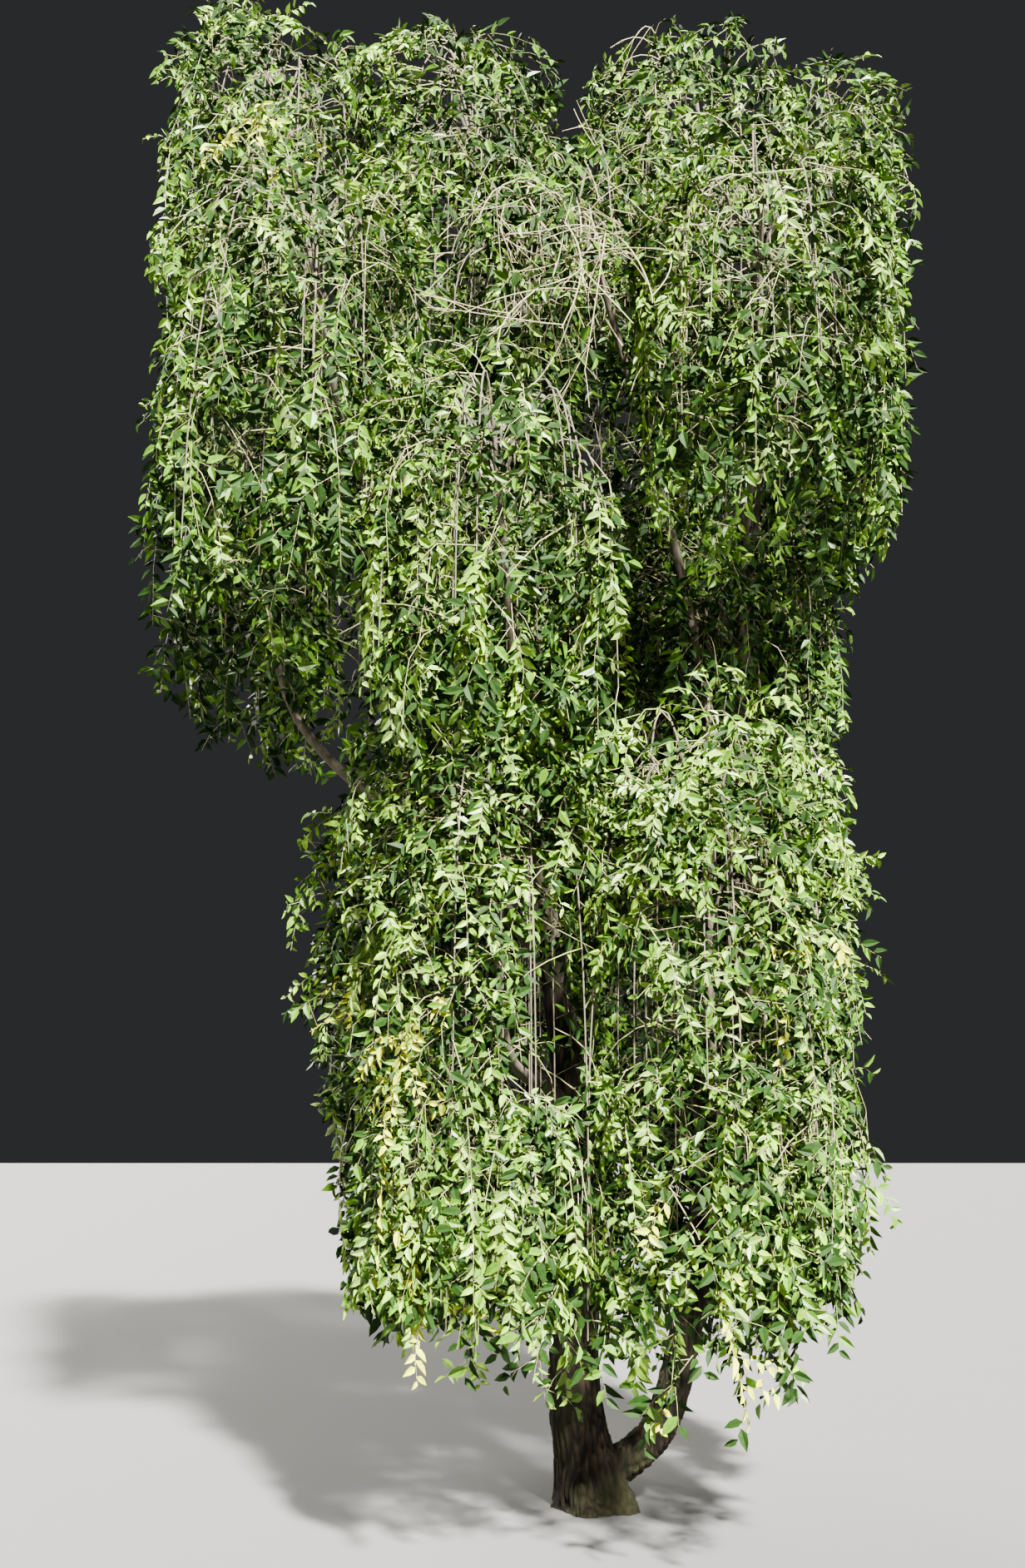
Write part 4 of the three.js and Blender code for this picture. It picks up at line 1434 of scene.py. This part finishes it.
class ELM_OT_dead_twigs(bpy.types.Operator):
    """Grows the tangle of dead twigs between the two halves of the crown"""

    bl_idname = "elm.dead_twigs"
    bl_label = "Dead twigs"

    def execute(self, context):
        scene = context.scene
        rng = np.random.default_rng(DEAD_SEED)
        stem = stem_in_bell(DEAD_BELL, grow_limbs(scene.elm_limbs))
        branches = spreading_branches(TANGLE, stem, scene.elm_crown.dead_branches, rng)
        twigs = crossing_twigs(branches, *DEAD_TWIGS, rng)
        tips = crossing_twigs(twigs, *DEAD_TIPS, rng)
        made = [
            tapering_tubes(branches, rings=14, sides=5, thick=0.0046, thin=0.002),
            tapering_tubes(twigs, rings=10, sides=4, thick=0.0026, thin=0.0013),
            tapering_tubes(tips, rings=6, sides=3, thick=0.0016, thin=0.001),
        ]
        finish = young_bark_finish("dead_twig", scene.elm_colours.dead, 150.0, 0.9)
        piece = mesh_piece("dead_twigs", *joined(made), [finish])
        settle(piece, "bare_twigs", DEAD_BELL.name)
        return {"FINISHED"}


class ELM_OT_stage(bpy.types.Operator):
    """Sets up the floor, the lights and the camera"""

    bl_idname = "elm.stage"
    bl_label = "Stage"

    def execute(self, context):
        scene = context.scene
        stage = scene.elm_stage
        colours = scene.elm_colours
        corners = np.array([(-1, -1, 0), (1, -1, 0), (1, 1, 0), (-1, 1, 0)]) * stage.floor_radius
        mesh_piece("floor", corners, np.array([[0, 1, 2, 3]]), [floor_finish(colours.floor)])
        sun("key_light", stage.key_strength, stage.key_angle, stage.key_from, colours.light)
        sun("fill_light", stage.fill_strength, stage.fill_angle, stage.fill_from, colours.light)
        world = bpy.data.worlds.new("surround")
        world.use_nodes = True
        background = world.node_tree.nodes["Background"]
        background.inputs["Color"].default_value = (*colours.surround, 1)
        background.inputs["Strength"].default_value = stage.sky_strength
        scene.world = world
        camera = bpy.data.objects.new("camera", bpy.data.cameras.new("camera"))
        camera.data.lens = stage.lens
        camera.data.clip_end = 200
        camera.location = stage.camera_place
        camera.rotation_euler = (math.radians(90) + stage.camera_pitch, 0, 0)
        scene.collection.objects.link(camera)
        scene.camera = camera
        return {"FINISHED"}


def sun(name, strength, angle, side, colour):
    """A distant light that shines from one side."""
    light = bpy.data.lights.new(name, "SUN")
    light.energy = strength
    light.color = colour
    light.angle = angle
    lamp = bpy.data.objects.new(name, light)
    lamp.rotation_euler = Vector(side).to_track_quat("Z", "Y").to_euler()
    bpy.context.scene.collection.objects.link(lamp)


class ELM_PT_panel(bpy.types.Panel):
    """Lists the steps that grow the elm"""

    bl_idname = "ELM_PT_panel"
    bl_label = "Weeping elm"
    bl_space_type = "VIEW_3D"
    bl_region_type = "UI"
    bl_category = "Elm"

    def draw(self, context):
        for step in STEPS:
            self.layout.operator(step.bl_idname)


STEPS = (ELM_OT_stems, ELM_OT_boughs, ELM_OT_foliage, ELM_OT_dead_twigs, ELM_OT_stage)
SETTINGS = {
    "elm_limbs": ElmLimbs,
    "elm_crown": ElmCrown,
    "elm_colours": ElmColours,
    "elm_stage": ElmStage,
}


def register():
    """Adds the settings, the steps and the panel."""
    for group in SETTINGS.values():
        bpy.utils.register_class(group)
    for name, group in SETTINGS.items():
        setattr(bpy.types.Scene, name, PointerProperty(type=group))
    for step in (*STEPS, ELM_PT_panel):
        bpy.utils.register_class(step)


def unregister():
    """Takes them out again."""
    for step in (*STEPS, ELM_PT_panel):
        bpy.utils.unregister_class(step)
    for name, group in SETTINGS.items():
        delattr(bpy.types.Scene, name)
        bpy.utils.unregister_class(group)


def main():
    """Grows the whole elm."""
    register()
    bpy.ops.elm.stems()
    bpy.ops.elm.boughs()
    bpy.ops.elm.foliage()
    bpy.ops.elm.dead_twigs()
    bpy.ops.elm.stage()


if __name__ == "__main__":
    main()
